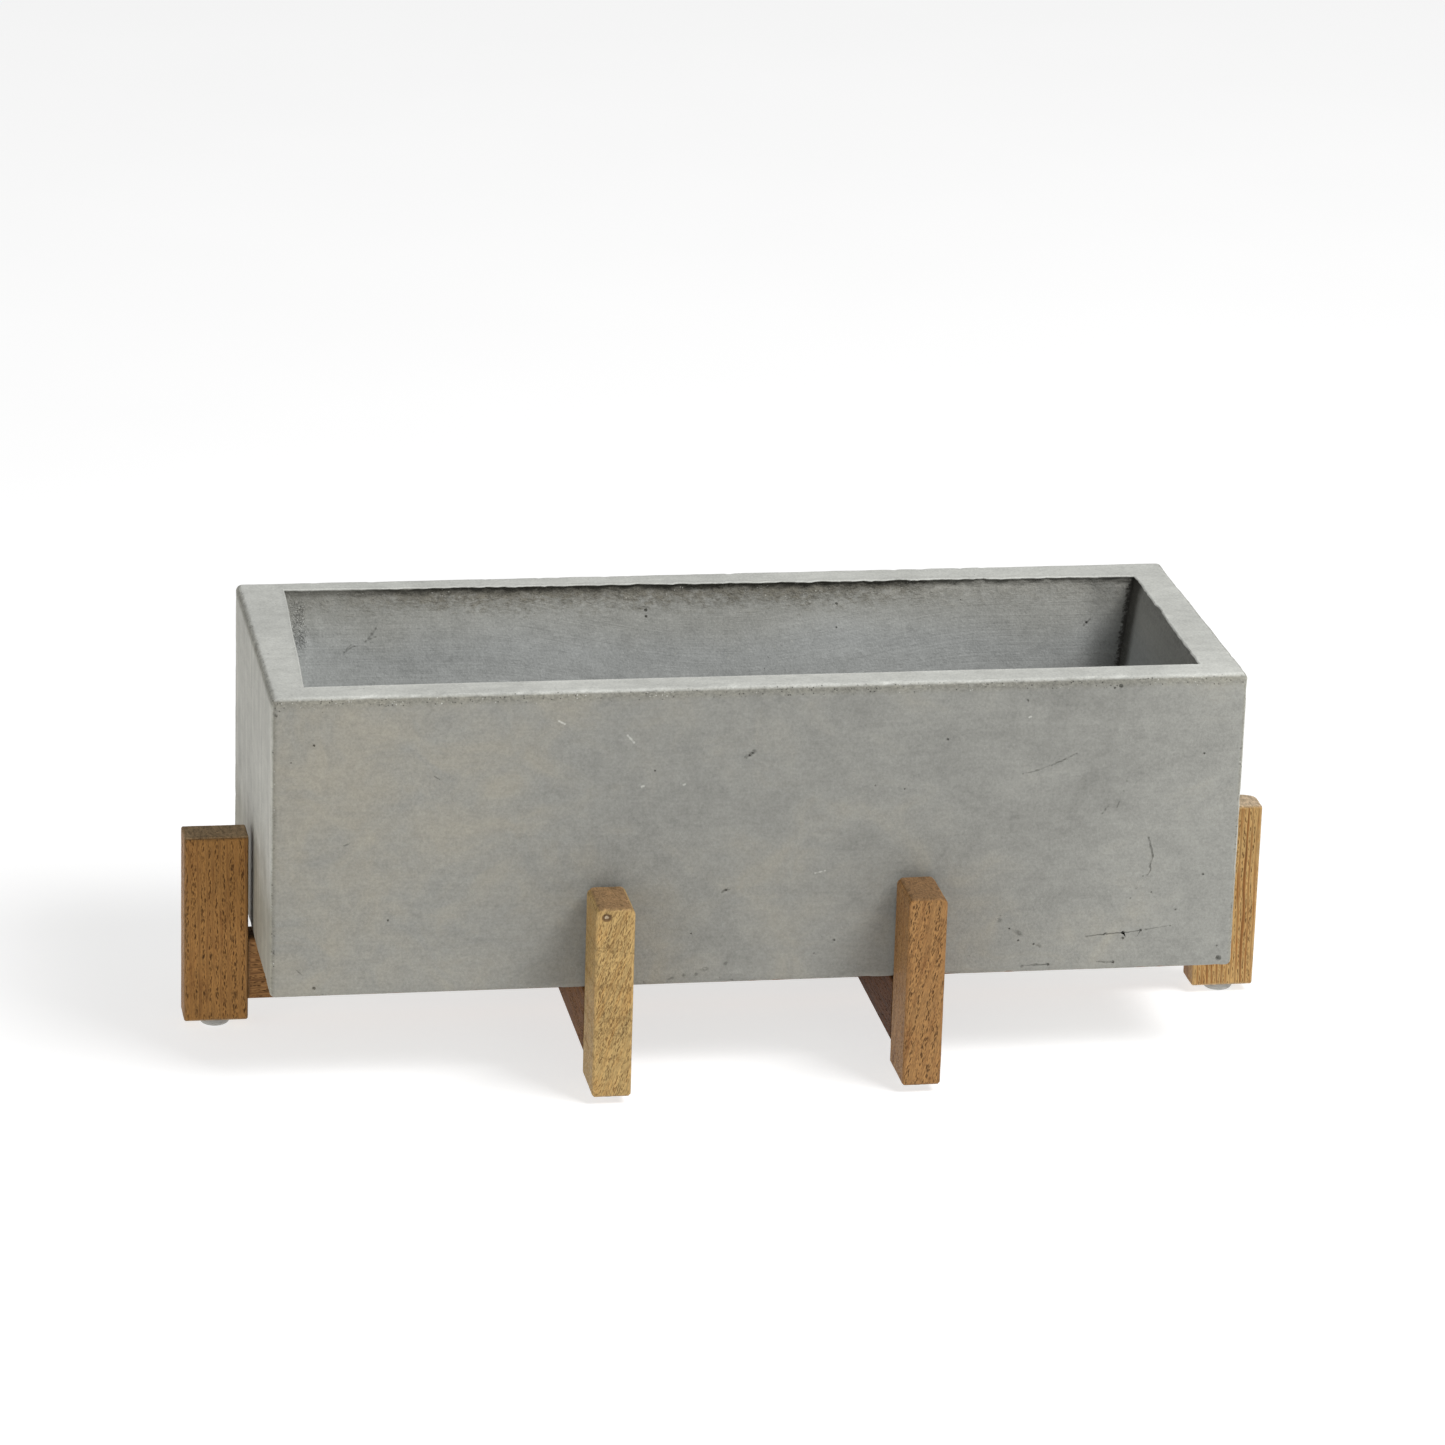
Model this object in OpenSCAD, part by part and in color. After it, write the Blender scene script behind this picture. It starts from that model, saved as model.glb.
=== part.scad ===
// Raised planter: a cast-concrete trough resting loose in an oak cradle on six legs.
// Origin: on the ground, under the middle. +X along the trough, +Y to the back, +Z up.

/* [Trough] */
// Length of the trough outside
trough_len = 600; // [440:5:800]
// Depth of the trough outside, front to back
trough_depth = 230; // [170:5:320]
// Height of the trough outside
trough_height = 192; // [140:1:260]
// Thickness of the two end walls at the rim
end_wall = 25; // [15:1:35]
// Thickness of the two long walls at the rim
side_wall = 22; // [12:1:30]
// Thickness of the floor
floor_thick = 22; // [14:1:32]
// Lean of the end walls inside, in degrees from upright
end_draft = 6.5; // [0:0.5:8]
// Lean of the long walls inside, in degrees from upright
side_draft = 3; // [0:0.5:6]
// Radius of the outside arrises
trough_arris = 4; // [1:0.5:8]
// Diameter of the drain holes
drain_dia = 12; // [6:1:20]

/* [Rails] */
// Height of the rails
rail_height = 40; // [30:1:60]
// Thickness of the rails
rail_thick = 24; // [18:1:32]
// Distance between the two cross rails, centre to centre
cross_spacing = 192; // [120:2:240]
// Side play of the halved joints where rails cross, on each side
lap_play = 0.1; // [0.05:0.05:0.5]

/* [Legs] */
// Width of a leg, measured away from the trough
leg_width = 40; // [32:1:60]
// Thickness of a leg
leg_thick = 24; // [20:1:32]
// Height of the legs above the trough's seat
leg_above = 68; // [30:1:110]
// Height of the legs below the rails
leg_below = 14; // [10:1:60]
// Gap between the trough and each end leg
end_gap = 3; // [1:0.5:8]
// Gap between the trough and each front or back leg
side_gap = 4; // [1:0.5:8]
// Radius of the eased arrises on the wood
wood_arris = 2; // [0.5:0.5:3]

/* [Dowels] */
// Diameter of a dowel
dowel_dia = 8; // [6:1:10]
// Length of a dowel
dowel_len = 40; // [24:1:50]
// Length of dowel that is in the leg
dowel_in_leg = 18; // [10:1:22]
// Distance from the rail's top or bottom edge to the nearest dowel's centre
dowel_inset = 10; // [7:0.5:10]
// Glue gap round a dowel
glue_gap = 0.05; // [0.02:0.01:0.2]
// Space for glue at each end of a dowel
dowel_end_gap = 1; // [0.5:0.5:3]

/* [Glides] */
// Diameter of a glide where it meets the leg
glide_dia = 19; // [14:0.5:20]
// Radius of a glide's lower edge
glide_round = 3; // [1:0.5:3.5]
// Height of a glide
glide_height = 5; // [4:0.5:8]
// Diameter of the glide nail
nail_dia = 2; // [1.5:0.1:2.5]
// Length of the glide nail
nail_len = 16; // [12:1:20]
// Diameter of the nail's head, bedded in the glide
nail_head_dia = 6; // [4:0.5:8]
// Thickness of the nail's head
nail_head_thick = 1; // [0.6:0.1:1.5]
// Plastic left under the nail's head
nail_cover = 1.5; // [1:0.5:2]

/* [Hidden] */
$fn = 64;

// heights
leg_foot = glide_height;
rail_bottom = leg_foot + leg_below;
seat = rail_bottom + rail_height;
leg_height = leg_below + rail_height + leg_above;
lap_level = rail_bottom + rail_height / 2;

// inner faces of the legs, where the rails end
end_face = trough_len / 2 + end_gap;
side_face = trough_depth / 2 + side_gap;
cross_x = cross_spacing / 2;

// planting space: half sizes at the rim and at the floor
core_depth = trough_height - floor_thick;
core_half_len = trough_len / 2 - end_wall;
core_half_depth = trough_depth / 2 - side_wall;
core_foot_len = core_half_len - core_depth * tan(end_draft);
core_foot_depth = core_half_depth - core_depth * tan(side_draft);

// drain holes, midway between the rails and the inside walls
drain_x = (cross_x + rail_thick / 2 + core_foot_len) / 2;
drain_y = (rail_thick / 2 + core_foot_depth) / 2;

// dowel holes, and the chamfer on the dowels' ends
dowel_heights = [rail_bottom + dowel_inset, seat - dowel_inset];
dowel_chamfer = dowel_dia / 8;
cut = 1;

// where each leg stands: inner face x, y, and the way its outer face looks, in degrees
end_left = [-end_face, 0, 180];
end_right = [end_face, 0, 0];
front_left = [-cross_x, -side_face, -90];
front_right = [cross_x, -side_face, -90];
back_left = [-cross_x, side_face, 90];
back_right = [cross_x, side_face, 90];
leg_places = [end_left, end_right, front_left, front_right, back_left, back_right];

// Shared shapes ------------------------------------------------------------

// a rectangle about the origin with round corners
module round_rect(width, height, radius) {
    square([width - 2 * radius, height], center = true);
    square([width, height - 2 * radius], center = true);
    for (sx = [-1, 1], sy = [-1, 1])
        translate([sx * (width / 2 - radius), sy * (height / 2 - radius)]) circle(radius);
}

// a block about the origin with all twelve arrises rounded
module eased_block(size, radius) {
    intersection() {
        linear_extrude(size.z, center = true) round_rect(size.x, size.y, radius);
        rotate([90, 0, 0]) linear_extrude(size.y, center = true) round_rect(size.x, size.z, radius);
        rotate([90, 0, 90]) linear_extrude(size.x, center = true) round_rect(size.y, size.z, radius);
    }
}

// a trapezium that stands on the floor of the planting space and opens above the rim
module core_side(half_foot, half_rim) {
    slope = (half_rim - half_foot) / core_depth;
    over = half_rim + cut * slope;
    polygon([[-half_foot, 0], [half_foot, 0], [over, core_depth + cut], [-over, core_depth + cut]]);
}

// sets its children against the inner face of one leg, looking outwards along +X
module at_leg(place) {
    translate([place.x, place.y, 0]) rotate(place.z) children();
}

// Trough -------------------------------------------------------------------

module planting_space() {
    intersection() {
        rotate([90, 0, 0]) linear_extrude(trough_depth, center = true)
            core_side(core_foot_len, core_half_len);
        rotate([90, 0, 90]) linear_extrude(trough_len, center = true)
            core_side(core_foot_depth, core_half_depth);
    }
}

module trough() {
    color([0.60, 0.60, 0.58])
    translate([0, 0, seat])
    difference() {
        translate([0, 0, trough_height / 2])
            eased_block([trough_len, trough_depth, trough_height], trough_arris);
        translate([0, 0, floor_thick]) planting_space();
        for (sx = [-1, 1], sy = [-1, 1])
            translate([sx * drain_x, sy * drain_y, -cut])
                cylinder(h = floor_thick + 2 * cut, d = drain_dia);
    }
}

// Cradle -------------------------------------------------------------------

// a rail along X about the origin's upright, between two leg faces
module rail_bar(half_len) {
    translate([0, 0, rail_bottom + rail_height / 2]) rotate([90, 0, 90])
        linear_extrude(2 * half_len, center = true)
            round_rect(rail_thick, rail_height, wood_arris);
}

// the two dowel holes in each end of a rail
module rail_dowel_holes(half_len) {
    depth = dowel_len - dowel_in_leg + dowel_end_gap;
    for (side = [0, 180], z = dowel_heights)
        rotate(side) translate([half_len - depth, 0, z]) rotate([0, 90, 0])
            cylinder(h = depth + cut, d = dowel_dia + 2 * glue_gap);
}

// the notch for a rail that crosses, above or below the lap level
module lap_notch(upper) {
    width = rail_thick + 2 * lap_play;
    height = rail_height / 2 + cut;
    low = upper ? lap_level : lap_level - height;
    translate([-width / 2, -rail_thick / 2 - cut, low])
        cube([width, rail_thick + 2 * cut, height]);
}

module long_rail() {
    color([0.50, 0.33, 0.18])
    difference() {
        rail_bar(end_face);
        for (side = [-1, 1]) translate([side * cross_x, 0, 0]) lap_notch(true);
        rail_dowel_holes(end_face);
    }
}

module cross_rail(side) {
    color([0.53, 0.36, 0.21])
    translate([side * cross_x, 0, 0]) rotate(90)
    difference() {
        rail_bar(side_face);
        lap_notch(false);
        rail_dowel_holes(side_face);
    }
}

// a leg with its dowel holes and the nail hole for its glide
module leg(place, tone) {
    color(tone)
    at_leg(place)
    difference() {
        translate([leg_width / 2, 0, leg_foot + leg_height / 2])
            eased_block([leg_width, leg_thick, leg_height], wood_arris);
        for (z = dowel_heights)
            translate([-cut, 0, z]) rotate([0, 90, 0])
                cylinder(h = dowel_in_leg + dowel_end_gap + cut, d = dowel_dia + 2 * glue_gap);
        translate([leg_width / 2, 0, 0]) nail_hole();
    }
}

// Fixings ------------------------------------------------------------------

// the pair of dowels in one leg joint
module dowel_pair(place) {
    color([0.80, 0.66, 0.45])
    at_leg(place)
    for (z = dowel_heights)
        translate([dowel_in_leg - dowel_len, 0, z]) rotate([0, 90, 0]) dowel();
}

// a round dowel with chamfered ends, standing on the origin
module dowel() {
    tip = dowel_dia - 2 * dowel_chamfer;
    cylinder(h = dowel_chamfer, d1 = tip, d2 = dowel_dia);
    translate([0, 0, dowel_chamfer]) cylinder(h = dowel_len - 2 * dowel_chamfer, d = dowel_dia);
    translate([0, 0, dowel_len - dowel_chamfer]) cylinder(h = dowel_chamfer, d1 = dowel_dia, d2 = tip);
}

// a glide: a plastic disc with a well-rounded lower edge
module glide(place) {
    flat = glide_dia / 2 - glide_round;
    color([0.86, 0.86, 0.84])
    at_leg(place) translate([leg_width / 2, 0, 0])
    difference() {
        rotate_extrude() {
            square([flat, glide_height]);
            translate([0, glide_round]) square([glide_dia / 2, glide_height - glide_round]);
            intersection() {
                translate([flat, glide_round]) circle(glide_round);
                square([glide_dia / 2, glide_round]);
            }
        }
        nail_hole();
    }
}

// the room that a nail takes, from its head in the glide to its point in the leg
module nail_hole() {
    translate([0, 0, nail_cover]) {
        cylinder(h = nail_head_thick + glue_gap, d = nail_head_dia + 2 * glue_gap);
        cylinder(h = nail_len + dowel_end_gap, d = nail_dia + 2 * glue_gap);
    }
}

// a nail standing on its head, in the middle of a leg's foot
module glide_nail() {
    point = 1.5 * nail_dia;
    translate([0, 0, nail_cover]) {
        cylinder(h = nail_head_thick, d = nail_head_dia);
        cylinder(h = nail_len - point, d = nail_dia);
        translate([0, 0, nail_len - point]) cylinder(h = point, d1 = nail_dia, d2 = nail_dia / 8);
    }
}

module glide_nails() {
    color([0.55, 0.56, 0.58])
    for (place = leg_places) at_leg(place) translate([leg_width / 2, 0, 0]) glide_nail();
}

// Assembly -----------------------------------------------------------------

trough();
long_rail();
cross_rail(-1);  // cross_rail_left
cross_rail(1);  // cross_rail_right
leg(end_left, [0.53, 0.38, 0.22]);  // end_leg_left
leg(end_right, [0.68, 0.53, 0.33]);  // end_leg_right
leg(front_left, [0.73, 0.60, 0.39]);  // front_leg_left
leg(front_right, [0.60, 0.45, 0.28]);  // front_leg_right
leg(back_left, [0.58, 0.42, 0.25]);  // back_leg_left
leg(back_right, [0.66, 0.52, 0.32]);  // back_leg_right
dowel_pair(end_left);  // dowels_end_left
dowel_pair(end_right);  // dowels_end_right
dowel_pair(front_left);  // dowels_front_left
dowel_pair(front_right);  // dowels_front_right
dowel_pair(back_left);  // dowels_back_left
dowel_pair(back_right);  // dowels_back_right
glide(end_left);  // glide_end_left
glide(end_right);  // glide_end_right
glide(front_left);  // glide_front_left
glide(front_right);  // glide_front_right
glide(back_left);  // glide_back_left
glide(back_right);  // glide_back_right
glide_nails();
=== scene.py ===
import math
import bpy
import numpy as np
from mathutils import Matrix, Vector, noise


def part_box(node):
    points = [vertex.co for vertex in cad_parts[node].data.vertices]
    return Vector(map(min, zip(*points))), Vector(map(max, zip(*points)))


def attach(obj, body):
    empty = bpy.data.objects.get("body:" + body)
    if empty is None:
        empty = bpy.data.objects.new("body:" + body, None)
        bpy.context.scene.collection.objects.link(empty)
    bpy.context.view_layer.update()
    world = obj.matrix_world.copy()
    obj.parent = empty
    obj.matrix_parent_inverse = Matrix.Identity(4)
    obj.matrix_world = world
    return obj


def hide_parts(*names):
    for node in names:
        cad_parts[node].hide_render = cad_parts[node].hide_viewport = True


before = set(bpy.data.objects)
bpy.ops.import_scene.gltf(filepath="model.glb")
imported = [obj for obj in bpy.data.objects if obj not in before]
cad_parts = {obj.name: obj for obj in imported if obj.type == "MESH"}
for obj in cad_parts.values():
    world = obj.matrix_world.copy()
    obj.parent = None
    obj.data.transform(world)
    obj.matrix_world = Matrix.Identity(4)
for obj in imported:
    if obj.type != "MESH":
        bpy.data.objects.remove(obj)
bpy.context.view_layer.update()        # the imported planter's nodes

mm = 0.001
cradle = "cradle"        # the two bodies
planter = "planter"
print("frame loaded:", len(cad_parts), "nodes")


# A node tree and one socket in it: sums on sockets add their Math nodes.
class Wire:
    def __init__(self, tree, socket=None):
        self.tree = tree
        self.socket = socket

    def node(self, kind, settings=None, sockets=None, output=0):
        made = self.tree.nodes.new(kind)
        for name, value in (settings or {}).items():
            setattr(made, name, value)
        for name, value in (sockets or {}).items():
            if isinstance(value, Wire):
                self.tree.links.new(value.socket, made.inputs[name])
            else:
                made.inputs[name].default_value = value
        return Wire(self.tree, made.outputs[output]) if len(made.outputs) else None

    def out(self, name):        # another output of the same node
        return Wire(self.tree, self.socket.node.outputs[name])

    def maths(self, operation, *values):
        return self.node("ShaderNodeMath", {"operation": operation}, dict(enumerate(values)))

    def __add__(self, other):
        return self.maths("ADD", self, other)

    def __radd__(self, other):
        return self.maths("ADD", other, self)

    def __sub__(self, other):
        return self.maths("SUBTRACT", self, other)

    def __rsub__(self, other):
        return self.maths("SUBTRACT", other, self)

    def __mul__(self, other):
        return self.maths("MULTIPLY", self, other)

    def __rmul__(self, other):
        return self.maths("MULTIPLY", other, self)

    def __truediv__(self, other):
        return self.maths("DIVIDE", self, other)

    def __or__(self, other):        # the larger of two masks
        return self.maths("MAXIMUM", self, other)

    def size(self):
        return self.maths("ABSOLUTE", self)

    def vector(self, operation, other, output=0):
        key = "Scale" if operation == "SCALE" else 1
        return self.node("ShaderNodeVectorMath", {"operation": operation}, {0: self, key: other}, output)

    def split(self):        # the three parts of a vector
        first = self.node("ShaderNodeSeparateXYZ", sockets={0: self})
        return first, first.out("Y"), first.out("Z")

    def rise(self, low, high, start=0.0, end=1.0):        # a smooth step that stays within its ends
        sockets = {"Value": self, "From Min": low, "From Max": high, "To Min": start, "To Max": end}
        return self.node("ShaderNodeMapRange", {"interpolation_type": "SMOOTHSTEP"}, sockets)

    def mix(self, low, high):        # two colours, self being the share of the second
        return self.node("ShaderNodeMix", {"data_type": "RGBA"}, {0: self, 6: low, 7: high}, 2)

    def cloud(self, sizes, detail=3.0, rough=0.5, warp=0.0):        # noise about zero, lumps of that many mm
        spot = self.vector("DIVIDE", sizes if hasattr(sizes, "__len__") else (sizes,) * 3)
        sockets = {"Vector": spot, "Scale": 1.0, "Detail": detail, "Roughness": rough, "Distortion": warp}
        return self.node("ShaderNodeTexNoise", sockets=sockets) - 0.5

    def cells(self, sizes, output="Distance"):        # scattered spots, one to each block of that size
        spot = self.vector("DIVIDE", sizes if hasattr(sizes, "__len__") else (sizes,) * 3)
        return self.node("ShaderNodeTexVoronoi", sockets={"Vector": spot, "Scale": 1.0}, output=output)


def paint(red, green, blue):        # a colour as a screen shows it, 0 to 255
    shares = [value / 255 for value in (red, green, blue)]
    return (*(s / 12.92 if s <= 0.04045 else ((s + 0.055) / 1.055) ** 2.4 for s in shares), 1.0)


def newMaterial(name):
    material = bpy.data.materials.new(name)
    material.use_nodes = True
    material.node_tree.nodes.clear()
    return material, Wire(material.node_tree)


def objectSpot(wire, centre=(0, 0, 0)):        # where a point is on its piece, in millimetres
    spot = wire.node("ShaderNodeTexCoord", output="Object")
    return spot.vector("SCALE", 1 / mm).vector("SUBTRACT", tuple(centre))


def finishMaterial(wire, colour, roughness, height, **fixed):        # height in millimetres
    bump = wire.node("ShaderNodeBump", sockets={"Height": height, "Distance": mm, "Strength": 1.0})
    sockets = {"Base Color": colour, "Roughness": roughness, "Normal": bump}
    sockets.update({name.replace("_", " "): value for name, value in fixed.items()})
    surface = wire.node("ShaderNodeBsdfPrincipled", sockets=sockets)
    wire.node("ShaderNodeOutputMaterial", sockets={"Surface": surface})


def nearest(edges, reach):        # 1 where two of the given distances are both within reach
    close = [edge.rise(0.35 * reach, reach, 1.0, 0.0) for edge in edges]
    return (close[0] * close[1]) | (close[1] * close[2]) | (close[0] * close[2])


# the cement of the trough
concreteLook = {
    "cool": paint(145, 145, 139), "warm": paint(144, 140, 128),
    # the end faces' darker warm tone low down is painted shade from the end legs, with a painted reflection
    # of their oak
    "end": paint(180, 179, 170), "endPaintedShade": paint(142, 137, 120),
    # the planting space's paler cement is painted light for the light its walls lack
    "rim": paint(204, 205, 199), "inside": paint(185, 185, 179), "insideBlue": paint(184, 186, 184),
    "stain": paint(106, 101, 87), "worn": paint(136, 134, 122), "seam": paint(70, 68, 60),
    # pit: the dark of holes, painted shade inside them, also the colour of the real smears and nicks
    "fleck": paint(210, 210, 202), "pit": paint(76, 75, 68),
    # the lumps of each cloud, in millimetres, and how strongly it darkens and lightens the cement
    "broadSize": 150.0, "broadShade": 0.45,
    "mediumSize": (44.0, 44.0, 34.0), "mediumShade": 0.5,
    "smallSize": (9.0, 9.0, 8.0), "smallShade": 0.32,
    "sweepSize": (60.0, 60.0, 4.5), "sweepShade": 0.2,
    "grainSize": 1.5, "grainShade": 0.6,
    "crumbSize": (2.6, 2.6, 1.8),
    "longStreak": (40.0, 6.0, 200.0), "fineStreak": (40.0, 2.0, 60.0), "streakShade": 0.75,
    "trowelSize": (30.0, 7.0, 40.0), "trowelShade": 0.3,
    "boardSize": (120.0, 60.0, 1.9), "boardDrop": 24.0, "boardShade": 0.2,
    # stains, wear and the painted shadow under the back edge: how much of the colour shows, and how far it
    # reaches, in millimetres
    "stainShare": 0.85, "stainReach": 22.0, "underEdgeShadowShare": 0.9, "underEdgeShadowReach": 6.5,
    "seamShare": 0.9, "seamFromEnd": 24.5, "seamSlope": 0.114,
    "blisterAt": (-262.0, 227.0),
    "bareShare": 0.6, "bareReach": 3.6, "bareReachFoot": 2.4,
    "stoneSize": 1.3, "fleckShare": 0.8, "holeShare": 0.8,
    "pinholesApart": 9.0, "pinholeShare": 0.6, "spotShare": 0.4,
    "smearShare": 0.6, "nickShare": 0.5, "scuffShare": 0.6, "scoreShare": 0.3,
    # relief, in millimetres
    "smallRelief": 0.3, "grainRelief": 0.2, "endRelief": 0.12, "sweepRelief": 0.08, "boardRelief": 0.2,
    "stainRelief": 1.6, "pinholeDepth": 0.3, "holeDepth": 0.5, "fleckRise": 0.2, "bareRelief": 0.9,
    "blisterRelief": 2.6,
    "roughness": 0.66,
    # smears and scratches in the front face: both ends (x, z), then how wide
    "smears": [
        ((-11.5, 206.0), (-6.5, 209.5), 1.7), ((-23.5, 119.4), (-19.3, 121.4), 1.3),
        ((226.9, 183.3), (223.1, 170.1), 0.8), ((223.1, 170.1), (221.6, 166.8), 0.8),
        ((216.0, 167.9), (212.2, 163.0), 0.8), ((240.1, 120.8), (232.9, 106.1), 0.9),
        ((-256.0, 156.4), (-252.4, 158.6), 0.9), ((-46.0, 65.5), (-20.0, 72.5), 1.6),
        ((-70.0, 61.5), (-38.0, 66.0), 1.4), ((150.0, 95.0), (176.0, 77.0), 2.2),
        ((161.2, 190.2), (177.5, 194.7), 0.6), ((178.5, 194.9), (194.2, 202.4), 0.9),
        ((242.2, 146.0), (245.6, 133.5), 1.0), ((245.6, 133.5), (242.8, 121.0), 0.9),
        ((206.6, 82.4), (229.3, 83.7), 0.9), ((229.3, 83.7), (259.1, 87.5), 0.8),
        ((166.0, 64.0), (183.0, 64.6), 1.3), ((214.0, 64.9), (224.0, 64.4), 1.2),
    ],
    # pale ones
    "scuffs": [
        ((-84.5, 222.0), (-80.5, 217.4), 0.9), ((-126.5, 232.3), (-122.9, 230.3), 0.8),
        ((33.9, 129.6), (39.9, 131.0), 0.7), ((-75.2, 188.9), (-74.0, 189.3), 0.9),
        ((-49.5, 189.3), (-48.5, 189.7), 0.8), ((163.4, 226.5), (164.4, 226.9), 0.8),
    ],
    # dark and pale ones on the planting space's back wall
    "nicks": [
        ((-213.0, 224.8), (-217.5, 218.0), 1.0), ((-213.0, 219.5), (-219.5, 216.5), 0.9),
        ((-226.0, 213.5), (-231.5, 211.0), 0.9), ((-228.5, 214.5), (-233.0, 210.0), 0.8),
        ((244.4, 217.9), (248.2, 222.1), 1.0),
    ],
    "scores": [((-185.0, 207.6), (-161.0, 198.0), 0.7), ((-83.0, 234.0), (-61.0, 227.0), 0.7)],
}


def strokes(across, up, lines):        # 1 on any of those straight lines
    mark = None
    for (startX, startZ), (endX, endZ), width in lines:
        runX = endX - startX
        runZ = endZ - startZ
        ahead = (across - startX) * runX + (up - startZ) * runZ
        share = (ahead / (runX * runX + runZ * runZ)).rise(0.0, 1.0)
        offX = across - startX - share * runX
        offZ = up - startZ - share * runZ
        line = (offX * offX + offZ * offZ).rise(0.02 * width * width, width * width, 1.0, 0.0)
        mark = line if mark is None else mark | line
    return mark


def castConcrete():
    look = concreteLook
    low, high = (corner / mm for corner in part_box("trough"))
    material, wire = newMaterial("castConcrete")
    here = objectSpot(wire)
    x, y, z = here.split()
    fromEnd = high.x - x.size()
    fromSide = high.y - y.size()
    fromTop = high.z - z
    fromFoot = z - low.z
    # which face a point is on
    inside = fromEnd.rise(9.0, 13.0) * fromSide.rise(6.0, 9.0)
    inside = inside * fromTop.rise(0.6, 1.8) * fromFoot.rise(15.0, 21.0)
    rim = fromTop.rise(1.2, 2.4, 1.0, 0.0)
    onEnd = fromEnd.rise(0.6, 2.0, 1.0, 0.0)
    onLong = fromSide.rise(0.6, 2.0, 1.0, 0.0)
    onFront = (y - low.y).rise(3.0, 6.0, 1.0, 0.0)
    onBack = inside * y.rise(60.0, 76.0)
    # broad clouds, sweeping brush marks, and the grain of the cement
    broad = here.cloud(look["broadSize"], 2.0, 0.5, 0.5)
    medium = here.cloud(look["mediumSize"], 4.0, 0.62, 1.2)
    small = here.cloud(look["smallSize"], 4.0, 0.65, 0.4)
    sweep = here.cloud(look["sweepSize"], 4.0, 0.65, 1.4)
    grain = here.cloud(look["grainSize"], 2.0, 0.7)
    crumbs = here.cloud(look["crumbSize"], 4.0, 0.7)
    tone = 1.0 + broad * look["broadShade"] + medium * look["mediumShade"] + small * look["smallShade"]
    tone = tone + sweep * look["sweepShade"] + grain * look["grainShade"]
    colour = (medium * 0.9 + broad - x * 0.0008).rise(-0.15, 0.45).mix(look["cool"], look["warm"])
    # a darker belt across the middle of the front and back, lighter towards the ends
    belt = (x + medium * 130 - 40).size().rise(90, 250, 0.93, 1.02)
    tone = tone * (1.0 - onLong * (1.0 - belt))
    # the end faces, with upright streaks, a painted shade from the end legs low down with a warm painted
    # reflection of their oak, and a paler strip by the arris
    streaks = here.cloud(look["longStreak"], 4.0, 0.7, 0.8) * 0.8
    streaks = streaks + here.cloud(look["fineStreak"], 3.0, 0.65, 0.5) * 1.1
    paintedShadeLow = (fromFoot + medium * 60).rise(40, 90, 0.75, 0.0)
    colour = onEnd.mix(colour, paintedShadeLow.mix(look["end"], look["endPaintedShade"]))
    tone = tone + onEnd * (streaks * look["streakShade"] + fromSide.rise(3.0, 7.0, 0.1, 0.0))
    # the trowelled rim, with strokes along it
    trowel = here.cloud(look["trowelSize"], 4.0, 0.65, 0.5)
    colour = rim.mix(colour, look["rim"])
    tone = tone + rim * (trowel * look["trowelShade"] - medium * 0.2)
    # the planting space: a paler cement than outside, painted light for the light its walls lack; bluish
    # lower down, with lines left by the form's board
    lift = (x - 10.0).size().rise(10.0, 170.0)
    plank = wire.node("ShaderNodeCombineXYZ", sockets={0: x, 1: y * 0.2, 2: z - lift * look["boardDrop"]})
    boards = plank.cloud(look["boardSize"], 3.0, 0.65, 0.5)
    deeper = (fromTop + broad * 60).rise(14, 44)
    colour = inside.mix(colour, deeper.mix(look["inside"], look["insideBlue"]))
    tone = tone + inside * (boards * look["boardShade"] + crumbs * 0.3 - medium * 0.25)
    # the right inner wall is darkened: painted shade on a wall facing away from the light
    tone = tone * (1.0 - inside * x.rise(240, 256) * 0.3)
    # a brown stain hangs from the rim, and a dark ragged line just under the back edge is painted shadow
    # under the broken edge
    middle = (x + 40.0 + medium * 90).size().rise(120, 230, 1.0, 0.5)
    flaking = here.cloud((5.0, 5.0, 2.4), 5.0, 0.75)
    hang = fromTop - medium * 12 - small * 16 - flaking * 34
    stain = hang.rise(3.0, look["stainReach"], look["stainShare"], 0.0) * (onBack * middle | inside * 0.3)
    # the painted shadow under the broken back edge
    line = (fromTop - crumbs * 16 - small * 6).rise(2.6, look["underEdgeShadowReach"], look["underEdgeShadowShare"], 0.0)
    line = line * onBack * middle
    colour = stain.mix(colour, look["stain"])
    tone = tone + stain * (crumbs * 1.8 + flaking * 1.6)
    colour = line.mix(colour, look["seam"])
    # the rough seam in the back right corner, and the blisters near the back left one
    toSeam = fromEnd + (z - high.z) * look["seamSlope"] - look["seamFromEnd"]
    seam = (toSeam - crumbs * 12).rise(0.5, 4.0, 1.0, 0.0) * onBack * x.rise(200, 220)
    colour = (seam * look["seamShare"]).mix(colour, look["seam"])
    squiggles = here.cloud((2.2, 2.2, 2.8), 3.0, 0.6, 1.6)
    blisterX, blisterZ = look["blisterAt"]
    blistered = (x - blisterX + small * 14).size().rise(2.0, 8.0, 1.0, 0.0) * onBack
    blistered = blistered * (z - blisterZ + small * 20).size().rise(10.0, 18.0, 1.0, 0.0)
    tone = tone + blistered * squiggles * 2.0
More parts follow.
